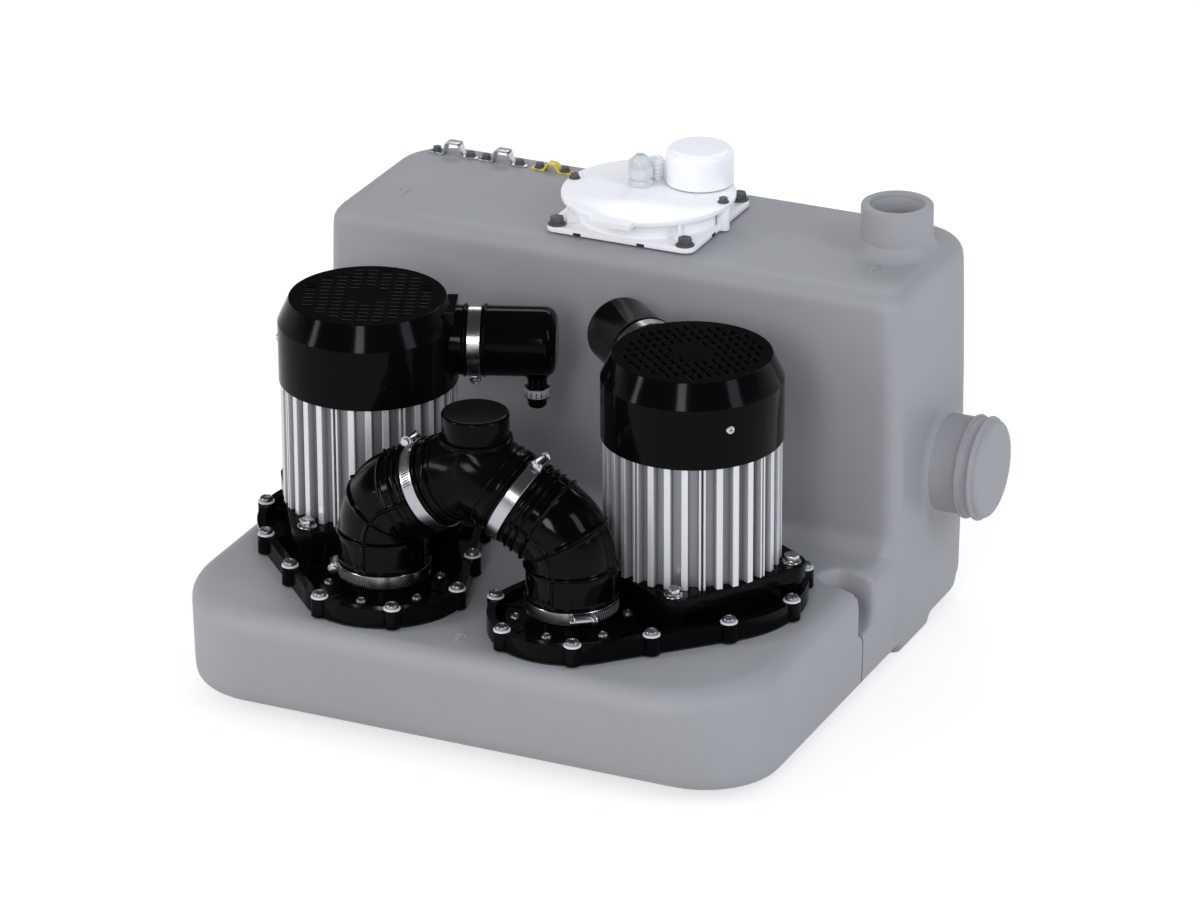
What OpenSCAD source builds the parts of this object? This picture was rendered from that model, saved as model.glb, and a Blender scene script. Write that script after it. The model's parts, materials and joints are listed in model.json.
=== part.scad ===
// Twin-pump lifting station for grey water: a hollow moulded tank with a low tray in front,
// two finned motor pumps on the tray, rubber elbows that join one outlet, and a cover on top.
// The origin is the middle of the floor under the tank. +X is right, +Y is back, +Z is up.

/* [Tank] */
// Width of the tank from side to side
tank_w = 585; // [575:1:620]
// Depth of the tank from front to back
tank_d = 564; // [556:1:600]
// Height of the tank above its feet
tank_h = 361; // [350:1:395]
// Height of the low tray above the feet
tray_h = 105.5; // [102:0.5:114]
// Depth of the tall part behind the tray
tower_d = 204; // [198:1:214]
// Thickness of the moulded wall
tank_wall = 6; // [5:0.5:8]
// How far the tray's front leans in towards its foot
front_lean = 23; // [10:1:26]
// Height of the feet
foot_h = 8; // [7:0.5:12]
// Corner radius of the tray, seen from above
tray_corner_r = 104; // [90:1:112]
// Corner radius of the tank at the back
back_corner_r = 49; // [40:1:56]
// Radius of the two upright front edges of the tall part
tower_corner_r = 16; // [15:0.5:22]

/* [Inlets] */
// Bore radius of the top inlet
top_inlet_bore_r = 23.7; // [21:0.1:25]
// Outer radius of the top inlet
top_inlet_r = 33.9; // [31:0.1:37]
// Height of the top inlet above the tank
top_inlet_h = 45; // [40:1:55]
// Outer radius of the side inlet
side_inlet_r = 46.5; // [42:0.5:50]
// Length of the side inlet outside the tank
side_inlet_l = 54; // [48:1:62]
// Height of the side inlet's axis above the tank's underside
side_inlet_z = 158; // [150:1:172]

/* [Pumps] */
// Distance between the two motor axes
pump_pitch = 327; // [322:1:332]
// Distance of the motor axes from the front of the tank
pump_from_front = 205.8; // [204.8:0.2:210]
// Turn of each pump's outlet away from straight ahead, in degrees
outlet_turn = 31.6; // [29:0.2:33]
// Distance from the motor axis to the pump's outlet
outlet_reach = 132; // [128:1:134]
// Radius of the flange round the motor
flange_r = 107; // [104:0.5:109]
// Radius of the flange round the outlet
flange_nose_r = 77; // [74:0.5:79]
// Height of the flange's rim above the tray
rim_h = 19.5; // [17:0.5:23]
// Radius of the impeller
impeller_r = 68; // [60:1:74]

/* [Motors] */
// Radius over the cooling fins
fin_tip_r = 81.8; // [80:0.1:83]
// Radius at the foot of the cooling fins
fin_root_r = 73; // [71:0.5:75]
// Number of places for fins round a motor
fin_places = 32; // [24:4:40]
// Height of the motor plate's top above the tray
motor_z = 42; // [38:1:48]
// Length of the finned housing below the fan cover
motor_l = 119.3; // [110:1:135]
// Radius of the fan cover
fan_cover_r = 83.5; // [83.4:0.1:86]
// Height of the fan cover
fan_cover_h = 80.3; // [76:0.1:90]
// Radius of the motor shaft
shaft_r = 7; // [6:0.5:8]
// Radius of the capacitor pot
pot_r = 32.7; // [31:0.1:34]
// Length of the capacitor pot
pot_l = 87; // [80:1:95]

/* [Outlet] */
// Outer radius of the rubber elbows
boot_r = 42; // [40.5:0.5:43]
// Wall of the rubber elbows
boot_wall = 4.5; // [4:0.25:5.5]
// Slope of the elbow's arm above level, in degrees
arm_slope = 28.5; // [27:0.1:30]
// Outer radius of the outlet cap
cap_r = 31; // [29:0.5:33]
// Height of the outlet cap
cap_h = 24; // [20:1:30]

/* [Inspection cover] */
// Width of the cover's square base
base_w = 151; // [147:1:158]
// Radius of the round lid
lid_r = 82.5; // [78:0.5:86]
// Height of the lid's top above the tank
lid_z = 29; // [27:0.5:36]
// Radius of the vent cap
vent_r = 32.3; // [28:0.5:34]
// Height of the vent cap
vent_h = 34; // [28:1:42]

/* [Clips] */
// Distance from one clip to the next
clip_pitch = 52.5; // [50:0.5:58]
// Width of the steel clips' straps
clip_strap_w = 10; // [8:0.5:12]

/* [Hidden] */

// Fineness of round shapes
$fn = 96;
fine_fn = 48;
// How far a cut runs past what it cuts
over = 1;
// Clearance between a shaft and what it turns in
run_gap = 0.06;
// Clearance between fixed parts that slide together
fit_gap = 0.1;
// Clearance round a screw's shank
hole_gap = 0.2;
quarter_turn = 90;
half_turn = 180;
full_turn = 360;
sides = [-1, 1];

// Levels and middles of the tank
tank_top = foot_h + tank_h;
tray_top = foot_h + tray_h;
tank_front = -tank_d / 2;
tank_back = tank_d / 2;
tower_front = tank_back - tower_d;
tower_mid_y = tank_back - tower_d / 2;
under_edge_r = 10;
front_under_r = 22;
under_steps = 6;
tray_edge_r = 16;
top_edge_r = 15;
tray_fillet_r = 18;

// Feet
foot_w = 46;
foot_l = 78;
foot_back_from_tower = 27;
foot_side_inset = 4;
foot_front_inset = 75;
foot_edge_r = 6;

// Upright notch in each side, and the slit under it
notch_w = 35;
notch_in = 46.5;
notch_from_tower = 46;
notch_floor = 55;
slit_w = 2.5;
slit_in = 20;
slit_from_notch = 7.3;
notch_y = tower_front - notch_from_tower - notch_w / 2;

// Places and details of the inlets
top_inlet_from_side = 51.6;
top_inlet_back = 19.4;
top_inlet_x = tank_w / 2 - top_inlet_from_side;
top_inlet_y = tower_mid_y + top_inlet_back;
mouth_step = 1.8;
mouth_depth = 6;
stub_flare_r = 7;
side_inlet_back = 10;
side_inlet_y = tower_mid_y + side_inlet_back;
side_inlet_axis_z = foot_h + side_inlet_z;
side_inlet_end_r = 5;
bead_h = 3;
bead_w = 4;
bead_from_end_shares = [0.2, 0.42];

// Cover opening in the tank
cover_forward = 7.5;
cover_y = tower_mid_y - cover_forward;
cover_hole_r = 60;

// Moulded arrows that show the way of the water
mark_t = 0.8;
mark_l = 22;
mark_w = 12;
mark_stem_share = 0.35;
mark_head_share = 0.45;
mark_inlet_forward = 46;
mark_outlet_from_front = 30;

// Places of the pumps
pump_mid_x = -8.35;
pump_y = tank_front + pump_from_front;
outlet_x = pump_pitch / 2 - outlet_reach * sin(outlet_turn);
outlet_y = pump_y - outlet_reach * cos(outlet_turn);

// Flange, its bolts and the opening in the tray
gasket_t = 2;
plate_t = 6;
rim_w = 8;
boss_r = 8;
bolt_r = 4;
bolt_in = 2;
bolt_angles = [74, 115, 155];
waist_share = 0.622;
nose_angles = [0, -57, 57];
opening_inset = 15;
side_tuck = 0.3;
side_lean = (flange_r - flange_nose_r) / outlet_reach;
side_across = sqrt(1 - side_lean * side_lean);
side_run = outlet_reach * side_across;
washer_r = 8;
washer_t = 1.8;
head_r = 6.3;
head_h = 4.5;
rib_t = 3.5;
rib_h = 7;

// Pillars, lantern ring and motor plate
pillar_count = 4;
pillar_turn = 45;
pillar_circle_r = 92;
pillar_r = 10;
motor_plate_t = 14;
motor_plate_w = 160;
motor_plate_corner_r = 20;
lantern_r = 70;
lantern_wall = 5;
hub_r = 24;
seal_r = 14;
seal_l = 16;
motor_plate_z = motor_z - motor_plate_t;
hex_flange_r = 9;
hex_flange_t = 1.6;
hex_r = 7.2;
hex_h = 6;
hex_sides = 6;

// Pump casing inside the tank
casing_wall = 4;
casing_h = 58;
casing_inset = 6;
intake_r = 30;
impeller_z = -46;
impeller_disc_t = 4;
impeller_vane_h = 22;
impeller_vane_t = 4;
impeller_vanes = 8;
impeller_hub_r = 14;

// Outlet port, nozzle and its flap valve
port_r = 60;
port_h = 14;
port_screw_r = 2.9;
port_screw_head_r = 5;
port_screw_head_h = 3.6;
port_screw_circle_r = 51;
port_screw_l = 9;
port_screw_angles = [-30, 30, 90, 150, 210, 270];
nozzle_r = boot_r - boot_wall - fit_gap;
nozzle_wall = 3.2;
nozzle_top = 46;
seat_r = 23;
flap_r = 24.6;
flap_t = 3;
flap_hinge_back = 28.5;
flap_barrel_r = 3.6;
flap_barrel_l = 12;
flap_pin_r = 2;
flap_pin_l = 26;
flap_lug_t = 5;
flap_rise = 0.4;
flap_arm_w = 10;
flap_boss_r = 8;
flap_boss_t = 2.5;

// Motor inside
fin_t = 6;
pair_fin_t = 2;
pair_gap = 2.2;
pair_every = 4;
first_pair = 1;
fin_turn = full_turn / fin_places / 2;
fin_hidden = 10;
housing_wall = 7;
housing_floor = 10;
bearing_r = 17.5;
bearing_t = 11;
bearing_hub_r = 24;
stator_z0 = 66;
stator_z1 = 140;
stator_in_r = 40;
stator_winding_h = 9;
stator_winding_in = 5;
air_gap = 0.6;
rotor_end = 3;
shield_z = 150;
shield_t = 8;
shield_hub_h = 14;
shaft_bottom = -50;
shaft_top = 212;
fan_z = 180;
fan_r = 68;
fan_disc_t = 3;
fan_blade_h = 22;
fan_blade_t = 2.5;
fan_blades = 9;
fan_hub_r = 14;

// Fan cover
cover_wall = 3;
cover_chamfer_h = 23;
cover_top_r = 72.8;
cover_z0 = motor_z + motor_l;
cover_z1 = cover_z0 + fan_cover_h;
slot_l = 9;
slot_w = 3.2;
slot_pitch_x = 13.5;
slot_pitch_y = 8.6;
slot_field_r = 64;
slot_blank_r = 20;
slot_rows = 7;
slot_columns = 4;
cover_screw_r = 2;
cover_screw_head_r = 4;
cover_screw_head_h = 1.6;
cover_screw_z = 37;

// Capacitor pot on the side of the fan cover
pot_turn = 79.4;
pot_z = 199.5;
pot_start = 88;
pot_wall = 2.7;
pot_end_r = 12;
pot_bead_r = 1.6;
pot_band_at = 11.5;
pot_bead_gap = 1.6;
band_w = 12;
band_t = 1;
spigot_l = 24;
neck_wall = 3;
neck_top_drop = 6;
saddle_w = 46;
capacitor_r = 22;
capacitor_l = 55;
gland_from_end = 19;
gland_neck_r = 9;
gland_neck_l = 10;
gland_nut_r = 12;
gland_nut_l = 12;
gland_tip_l = 9;
gland_bore_r = 4;
gland_seat_r = 11;
gland_seat_h = 1.5;

// Rubber elbows, worm bands and the outlet manifold
boot_bottom = 21;
boot_bend_start = 67;
boot_bend_r = 43;
boot_end_past_band = 9;
cuff_over = 3;
bend_over = 2;
bend_step = 1;
arm_band_from_mid = 42.85;
lower_band_z = 30;
worm_l = 16;
worm_w = 11;
worm_h = 7;
worm_screw_r = 3.2;
worm_screw_l = 26;
lower_worm_turns = [25, -53];
upper_worm_turn = 0;
boot_ring_r = 1.8;
boot_ring_shares = [0.36, 0.6];
arm_r = 37.4;
arm_wall = 4;
arm_body_r = 39.5;
arm_spigot_l = 34;
collar_r = 1.8;
collar_w = 5;
bend_angle = quarter_turn - arm_slope;
arm_start_x = boot_bend_r * (1 - cos(bend_angle));
arm_start_z = boot_bend_start + boot_bend_r * sin(bend_angle);
arm_band_l = (outlet_x - arm_band_from_mid - arm_start_x) / sin(bend_angle);
arm_total_l = (outlet_x - arm_start_x) / sin(bend_angle);
meet_z = arm_start_z + arm_total_l * cos(bend_angle);
boot_arm_l = arm_band_l + boot_end_past_band;
neck_r = 27;
neck_top_above_meet = 27;
lip_r = 33.2;
lip_t = 4;
outlet_spigot_h = 20;
outlet_wall = 4.2;
cap_wall = 2.8;
cap_gap = 0.25;
spigot_r = cap_r - cap_wall - cap_gap;
cap_edge_r = 3;
cap_seal_t = 2;
lip_z = meet_z + neck_top_above_meet;

// Inspection cover
cover_gasket_t = 2;
cover_gasket_w = 9;
base_t = 5;
base_d = 145;
base_corner_r = 11;
collar_out_r = 70;
collar_wall = 5;
lid_t = 4.5;
lid_edge_r = 1.5;
cover_bolt_span_x = 131;
cover_bolt_span_y = 127;
cover_bolt_l = 16;
gusset_count = 4;
gusset_turn = 45;
gusset_t = 3;
gusset_l = 12;
lid_screw_circle_r = 76.6;
lid_screw_r = 2.4;
lid_screw_head_r = 4.6;
lid_screw_head_h = 3.6;
lid_screw_l = 16;
lid_post_r = 6;
tab_w = 43;
tab_l = 20;
tab_t = 4.5;
tab_turn = 270;
vent_x = 35;
vent_back = 39.5;
vent_edge_r = 7;
vent_wall = 2.5;
vent_seat_r = 14;
vent_gap = 1.2;
vent_tube_x = -7;
vent_tube_back = 32;
vent_tube_r = 7.5;
vent_tube_h = 20;
vent_tube_bore = 4;
vent_tube_ring_r = 1.2;
vent_tube_rings = 4;
lid_gland_x = -13;
lid_gland_back = 10.5;
lid_gland_r = 12;
lid_gland_thread_r = 9;
lid_gland_under = 8;
lid_gland_flange_h = 6;
lid_gland_body_h = 13;
lid_gland_dome_h = 12;
lid_gland_h = lid_gland_flange_h + lid_gland_body_h + lid_gland_dome_h;
switch_w = 52;
switch_d = 40;
switch_h = 26;
switch_neck_r = 16;
dip_r = 15;
dip_wall = 2.5;
dip_above_floor = 40;
dip_flange_r = 20;
dip_flange_t = 3;

// Clips on the tank's top
pipe_clip_count = 2;
clip_first = 52.5;
clip_from_back = 34;
clip_span = 36;
clip_hat_w = 16;
clip_hat_h = 14;
clip_t = 1.8;
clip_ear = 8;
small_clip_span = 27;
small_clip_hat_w = 11;
small_clip_hat_h = 9;
small_clip_strap_w = 9;
clip_screw_r = 2.2;
clip_screw_head_r = 4.8;
clip_screw_head_h = 4;
clip_screw_l = 5;

// A flat shape with its outer edge rounded below and above; its face is at x = reach
module edge_profile(reach, h, low_r, high_r) {
    difference() {
        square([reach, h]);
        if (low_r > 0)
            translate([reach - low_r, 0])
                difference() {
                    square(low_r);
                    translate([0, low_r])
                        circle(low_r);
                }
        if (high_r > 0)
            translate([reach - high_r, h - high_r])
                difference() {
                    square(high_r);
                    circle(high_r);
                }
    }
}

// A straight bar with that profile, along +Y, its rounded face towards +X
module edge_bar(l, reach, h, low_r, high_r) {
    translate([0, l, 0])
        rotate([quarter_turn, 0, 0])
            linear_extrude(l)
                edge_profile(reach, h, low_r, high_r);
}

// A block between two corners with rounded upright corners and rounded rims
module soft_block(low, high, front_r, back_r, low_r, high_r) {
    h = high[2] - low[2];
    reach = max(front_r, back_r);
    span_x = high[0] - low[0];
    span_y = high[1] - low[1];
    translate([low[0], low[1], low[2]]) {
        translate([span_x - front_r, front_r, 0])
            rotate(-quarter_turn)
                rotate_extrude(angle = quarter_turn)
                    edge_profile(front_r, h, low_r, high_r);
        translate([front_r, front_r, 0])
            rotate(half_turn)
                rotate_extrude(angle = quarter_turn)
                    edge_profile(front_r, h, low_r, high_r);
        translate([span_x - back_r, span_y - back_r, 0])
            rotate_extrude(angle = quarter_turn)
                edge_profile(back_r, h, low_r, high_r);
        translate([back_r, span_y - back_r, 0])
            rotate(quarter_turn)
                rotate_extrude(angle = quarter_turn)
                    edge_profile(back_r, h, low_r, high_r);
        translate([span_x - reach, front_r, 0])
            edge_bar(span_y - front_r - back_r, reach, h, low_r, high_r);
        translate([reach, span_y - back_r, 0])
            rotate(half_turn)
                edge_bar(span_y - front_r - back_r, reach, h, low_r, high_r);
        translate([front_r, reach, 0])
            rotate(-quarter_turn)
                edge_bar(span_x - 2 * front_r, reach, h, low_r, high_r);
        translate([span_x - back_r, span_y - reach, 0])
            rotate(quarter_turn)
                edge_bar(span_x - 2 * back_r, reach, h, low_r, high_r);
        translate([reach, reach, 0])
            cube([span_x - 2 * reach, span_y - 2 * reach, h]);
    }
}

// A tube
module ring(r_out, r_in, h) {
    difference() {
        cylinder(r = r_out, h = h);
        translate([0, 0, -over])
            cylinder(r = r_in, h = h + 2 * over);
    }
}

// The hollow curve at the foot of a round stub
module flare(r, f) {
    rotate_extrude()
        difference() {
            square([r + f, f]);
            translate([r + f, f])
                circle(f);
        }
}

// A round bead on a pipe
module bead(r, bead_r) {
    rotate_extrude()
        translate([r, 0])
            circle(bead_r, $fn = fine_fn);
}

// A flat square with round corners, about the origin
module round_square(w, d, r) {
    square([w - 2 * r, d], center = true);
    square([w, d - 2 * r], center = true);
    for (x = sides, y = sides)
        translate([x * (w / 2 - r), y * (d / 2 - r)])
            circle(r);
}

// The outline of a flange: two circles and straight sides a hair inside their tangents
module pear(r, nose_r) {
    lean = (r - nose_r) / outlet_reach;
    side = sqrt(1 - lean * lean);
    near = r - side_tuck;
    far = nose_r - side_tuck;
    circle(r);
    translate([outlet_reach, 0])
        circle(nose_r);
    polygon([
        [near * lean, near * side],
        [outlet_reach + far * lean, far * side],
        [outlet_reach + far * lean, -far * side],
        [near * lean, -near * side]]);
}

// Places its children on a pump: the motor axis, the tray's top, +X towards the outlet
module at_pump(side) {
    translate([pump_mid_x + side * pump_pitch / 2, pump_y, tray_top])
        rotate(-quarter_turn - side * outlet_turn)
            children();
}

// Places its children at a pump's outlet, with +X away from the middle
module at_outlet(side) {
    translate([pump_mid_x + side * outlet_x, outlet_y, tray_top])
        rotate(side < 0 ? half_turn : 0)
            children();
}

// Places its children on the arm of an elbow, with +Z along the arm
module at_arm(along) {
    translate([-arm_start_x, 0, arm_start_z])
        rotate([0, -bend_angle, 0])
            translate([0, 0, along])
                children();
}

// Places its children at each bolt of a flange
module at_flange_bolts() {
    for (s = sides, a = bolt_angles)
        rotate(s * a)
            translate([flange_r - bolt_in, 0, 0])
                children();
    for (s = sides)
        translate([
            (flange_r - bolt_in) * side_lean + waist_share * side_run * side_across,
            s * ((flange_r - bolt_in) * side_across - waist_share * side_run * side_lean), 0])
            children();
    for (a = nose_angles)
        translate([outlet_reach, 0, 0])
            rotate(a)
                translate([flange_nose_r - bolt_in, 0, 0])
                    children();
}

// Places its children at the four pillars of a pump
module at_pillars() {
    for (i = [1:pillar_count])
        rotate(i * full_turn / pillar_count + pillar_turn)
            translate([pillar_circle_r, 0, 0])
                children();
}

// Turns its children to the side of the fan cover that carries the pot, with +Z outwards
module at_pot(side) {
    rotate(pot_turn + (side > 0 ? half_turn : 0))
        translate([0, 0, pot_z])
            rotate([0, quarter_turn, 0])
                children();
}

// The notch in the right-hand side, with a margin all round
module notch(grow) {
    depth = notch_in + grow;
    r = notch_w / 2 + grow;
    x0 = tank_w / 2 - depth;
    translate([x0 + r, notch_y, foot_h + notch_floor]) {
        cylinder(r = r, h = tray_h);
        translate([0, -r, 0])
            cube([depth, 2 * r, tray_h]);
    }
}

module slit() {
    translate([tank_w / 2 - slit_in, notch_y - slit_from_notch - slit_w, -over])
        cube([slit_in + over, slit_w, foot_h + notch_floor + 2 * over]);
}

// Solid wall left round the notch and under it
module notch_wall() {
    depth = notch_in + tank_wall;
    w = notch_w + 2 * tank_wall;
    translate([tank_w / 2 - depth + w / 2, notch_y, 0]) {
        cylinder(r = w / 2, h = tray_top);
        translate([0, -w / 2, 0])
            cube([depth, w, tray_top]);
    }
}

module foot(x, y) {
    translate([x - foot_w / 2, y, 0])
        soft_block([0, 0, 0], [foot_w, foot_l, foot_h + tank_wall], foot_edge_r, foot_edge_r, 0, 0);
}

// What is cut away under the leaning front of the tray, a margin further in
module front_cut(inset) {
    lean_h = tray_h - tray_edge_r;
    slope = atan(lean_h / front_lean);
    run = front_under_r * tan(slope / 2);
    arc = [for (i = [1:under_steps - 1]) slope + quarter_turn + i * (half_turn - slope) / under_steps];
    translate([-tank_w / 2 - over, tank_front + inset, foot_h])
        rotate([quarter_turn, 0, quarter_turn])
            linear_extrude(tank_w + 2 * over)
                polygon(concat(
                    [[-over - inset, lean_h + (over + inset) * lean_h / front_lean]],
                    [for (a = arc) [
                        front_lean + run + front_under_r * cos(a),
                        front_under_r + front_under_r * sin(a)]],
                    [[front_lean + run, -over], [-over - inset, -over]]));
}

// The tank's outside, made smaller all round by the margin
module tank_body(inset) {
    difference() {
        tray_block(inset);
        front_cut(inset);
    }
    soft_block(
        [-tank_w / 2 + inset, tower_front + inset, foot_h + 2 * under_edge_r],
        [tank_w / 2 - inset, tank_back - inset, tank_top - inset],
        tower_corner_r - inset, back_corner_r - inset, 0, top_edge_r - inset);
}

module tray_block(inset) {
    soft_block(
        [-tank_w / 2 + inset, tank_front + inset, foot_h + inset],
        [tank_w / 2 - inset, tank_back - inset, tray_top - inset],
        tray_corner_r - inset, back_corner_r - inset, under_edge_r - inset, tray_edge_r - inset);
}

module tray_fillet() {
    l = tank_w - 2 * tray_edge_r;
    translate([-l / 2, tower_front, tray_top])
        rotate([quarter_turn, 0, quarter_turn])
            linear_extrude(l)
                translate([-tray_fillet_r, 0])
                    difference() {
                        square(tray_fillet_r);
                        translate([0, tray_fillet_r])
                            circle(tray_fillet_r);
                    }
}

module side_inlet_outside() {
    rotate_extrude()
        translate([0, -tank_wall])
            edge_profile(side_inlet_r, side_inlet_l + tank_wall, 0, side_inlet_end_r);
    flare(side_inlet_r, stub_flare_r);
    for (share = bead_from_end_shares)
        translate([0, 0, side_inlet_l * (1 - share)])
            cylinder(r = side_inlet_r + bead_h, h = bead_w);
}

module tank() {
    color("#9aa0ab")
        difference() {
            union() {
                tank_body(0);
                tray_fillet();
                for (s = sides) {
                    foot(s * (tank_w / 2 - foot_w / 2 - foot_side_inset),
                        tower_front + foot_back_from_tower);
                    foot(s * (tank_w / 2 - foot_w / 2 - foot_front_inset),
                        tank_front + foot_front_inset);
                }
                foot(0, -foot_l / 2);
                translate([top_inlet_x, top_inlet_y, tank_top]) {
                    translate([0, 0, -tank_wall])
                        cylinder(r = top_inlet_r, h = top_inlet_h + tank_wall);
                    flare(top_inlet_r, stub_flare_r);
                }
                translate([tank_w / 2, side_inlet_y, side_inlet_axis_z])
                    rotate([0, quarter_turn, 0])
                        side_inlet_outside();
            }
            difference() {
                tank_body(tank_wall);
                notch_wall();
                mirror([1, 0, 0])
                    notch_wall();
            }
            for (m = [0, 1])
                mirror([m, 0, 0]) {
                    notch(0);
                    slit();
                }
            translate([top_inlet_x, top_inlet_y, tank_top - tank_wall - over]) {
                cylinder(r = top_inlet_bore_r, h = top_inlet_h + tank_wall + 2 * over);
                translate([0, 0, tank_wall + over + top_inlet_h - mouth_depth])
                    cylinder(r = top_inlet_bore_r + mouth_step, h = mouth_depth + over);
            }
            translate([tank_w / 2 - tank_wall - over, side_inlet_y, side_inlet_axis_z])
                rotate([0, quarter_turn, 0])
                    cylinder(r = side_inlet_r - tank_wall, h = side_inlet_l + over);
            translate([0, cover_y, tank_top - tank_wall - over])
                cylinder(r = cover_hole_r, h = tank_wall + 2 * over);
            at_cover_bolts()
                translate([0, 0, -tank_wall - over])
                    cylinder(r = bolt_r + hole_gap, h = tank_wall + 2 * over, $fn = fine_fn);
            at_clip_screws()
                translate([0, 0, -clip_screw_l])
                    cylinder(r = clip_screw_r + fit_gap, h = clip_screw_l + over, $fn = fine_fn);
            for (side = sides)
                at_pump(side) {
                    translate([0, 0, -tank_wall - over])
                        linear_extrude(tank_wall + 2 * over)
                            pear(flange_r - opening_inset, flange_nose_r - opening_inset);
                    at_flange_bolts()
                        translate([0, 0, -tank_wall - over])
                            cylinder(r = bolt_r + hole_gap, h = tank_wall + 2 * over,
                                $fn = fine_fn);
                }
        }
}

// A flat arrow that points along +Y
module arrow_mark() {
    linear_extrude(mark_t) {
        translate([-mark_w * mark_stem_share / 2, 0])
            square([mark_w * mark_stem_share, mark_l * (1 - mark_head_share)]);
        polygon([
            [-mark_w / 2, mark_l * (1 - mark_head_share)],
            [mark_w / 2, mark_l * (1 - mark_head_share)],
            [0, mark_l]]);
    }
}

module top_marks() {
    color("#8f959f") {
        for (s = sides)
            translate([s * top_inlet_x, top_inlet_y - mark_inlet_forward - mark_l, tank_top])
                arrow_mark();
        translate([0, tank_front + mark_outlet_from_front, tray_top])
            arrow_mark();
    }
}

// Places its children at the four bolts of the cover's base, on the tank's top
module at_cover_bolts() {
    for (x = sides, y = sides)
        translate([x * cover_bolt_span_x / 2, cover_y + y * cover_bolt_span_y / 2, tank_top])
            children();
}

// A hex bolt with a round flange; its seat is at z = 0
module hex_bolt(shank_l) {
    cylinder(r = hex_flange_r, h = hex_flange_t);
    translate([0, 0, hex_flange_t])
        cylinder(r = hex_r, h = hex_h, $fn = hex_sides);
    translate([0, 0, -shank_l])
        cylinder(r = bolt_r, h = shank_l, $fn = fine_fn);
}

module cover_gasket() {
    color("#222222")
        translate([0, cover_y, tank_top])
            ring(cover_hole_r + cover_gasket_w, cover_hole_r, cover_gasket_t);
}

lid_under = lid_z - lid_t;

module cover_base() {
    color("white")
        difference() {
            translate([0, cover_y, tank_top]) {
                translate([0, 0, cover_gasket_t])
                    linear_extrude(base_t)
                        round_square(base_w, base_d, base_corner_r);
                translate([0, 0, cover_gasket_t])
                    cylinder(r = collar_out_r, h = lid_under - cover_gasket_t);
                for (i = [1:gusset_count])
                    rotate(i * full_turn / gusset_count + gusset_turn)
                        translate([collar_out_r - collar_wall, -gusset_t / 2, cover_gasket_t])
                            cube([collar_wall + gusset_l, gusset_t, lid_under - cover_gasket_t]);
                for (s = sides)
                    translate([s * lid_screw_circle_r, 0, cover_gasket_t])
                        cylinder(r = lid_post_r, h = lid_under - cover_gasket_t);
            }
            translate([0, cover_y, tank_top - over])
                cylinder(r = collar_out_r - collar_wall, h = lid_under + 2 * over);
            at_cover_bolts()
                cylinder(r = bolt_r + hole_gap, h = lid_under, $fn = fine_fn);
            for (s = sides)
                translate([s * lid_screw_circle_r, cover_y, tank_top + lid_z - lid_screw_l])
                    cylinder(r = lid_screw_r + fit_gap, h = lid_screw_l, $fn = fine_fn);
        }
}

module cover_bolts() {
    color("#77777c")
        at_cover_bolts()
            translate([0, 0, cover_gasket_t + base_t])
                hex_bolt(cover_bolt_l - hex_flange_t);
}

module cover_lid() {
    color("white")
        translate([0, cover_y, tank_top + lid_under])
            difference() {
                union() {
                    rotate_extrude()
                        edge_profile(lid_r, lid_t, 0, lid_edge_r);
                    rotate(tab_turn)
                        translate([lid_r - tab_l / 2, -tab_w / 2, lid_t - tab_t])
                            cube([tab_l, tab_w, tab_t]);
                    translate([vent_x, vent_back, lid_t])
                        cylinder(r = vent_seat_r, h = vent_gap + vent_h / 2);
                }
                for (s = sides)
                    translate([s * lid_screw_circle_r, 0, -over])
                        cylinder(r = lid_screw_r + hole_gap, h = lid_t + 2 * over, $fn = fine_fn);
                translate([lid_gland_x, lid_gland_back, -over])
                    cylinder(r = lid_gland_thread_r + fit_gap, h = lid_t + 2 * over);
                translate([vent_x, vent_back, -over])
                    cylinder(r = vent_seat_r / 2, h = vent_h);
                translate([vent_tube_x, vent_tube_back, -over])
                    cylinder(r = vent_tube_bore, h = lid_t + 2 * over);
            }
}

module lid_screws() {
    color("#77777c")
        for (s = sides)
            translate([s * lid_screw_circle_r, cover_y, tank_top + lid_z]) {
                cylinder(r = lid_screw_head_r, h = lid_screw_head_h, $fn = fine_fn);
                translate([0, 0, -lid_screw_l])
                    cylinder(r = lid_screw_r, h = lid_screw_l, $fn = fine_fn);
            }
}

module lid_gland() {
    color("white")
        translate([lid_gland_x, cover_y + lid_gland_back, tank_top + lid_z])
            difference() {
                union() {
                    translate([0, 0, -lid_t - lid_gland_under])
                        cylinder(r = lid_gland_thread_r, h = lid_t + lid_gland_under);
                    cylinder(r = lid_gland_r, h = lid_gland_flange_h, $fn = hex_sides);
                    translate([0, 0, lid_gland_flange_h])
                        cylinder(r = lid_gland_r, h = lid_gland_body_h, $fn = hex_sides);
                    translate([0, 0, lid_gland_flange_h + lid_gland_body_h])
                        rotate_extrude()
                            edge_profile(lid_gland_r * cos(half_turn / hex_sides),
                                lid_gland_dome_h, 0, lid_gland_dome_h / 2);
                }
                translate([0, 0, -lid_t - lid_gland_under - over])
                    cylinder(r = gland_bore_r,
                        h = lid_t + lid_gland_under + lid_gland_h + 2 * over);
            }
}

module vent_cap() {
    color("white")
        translate([vent_x, cover_y + vent_back, tank_top + lid_z + vent_gap])
            difference() {
                rotate_extrude()
                    edge_profile(vent_r, vent_h, 0, vent_edge_r);
                translate([0, 0, -over])
                    cylinder(r = vent_r - vent_wall, h = vent_h / 2 + over);
            }
}

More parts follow.
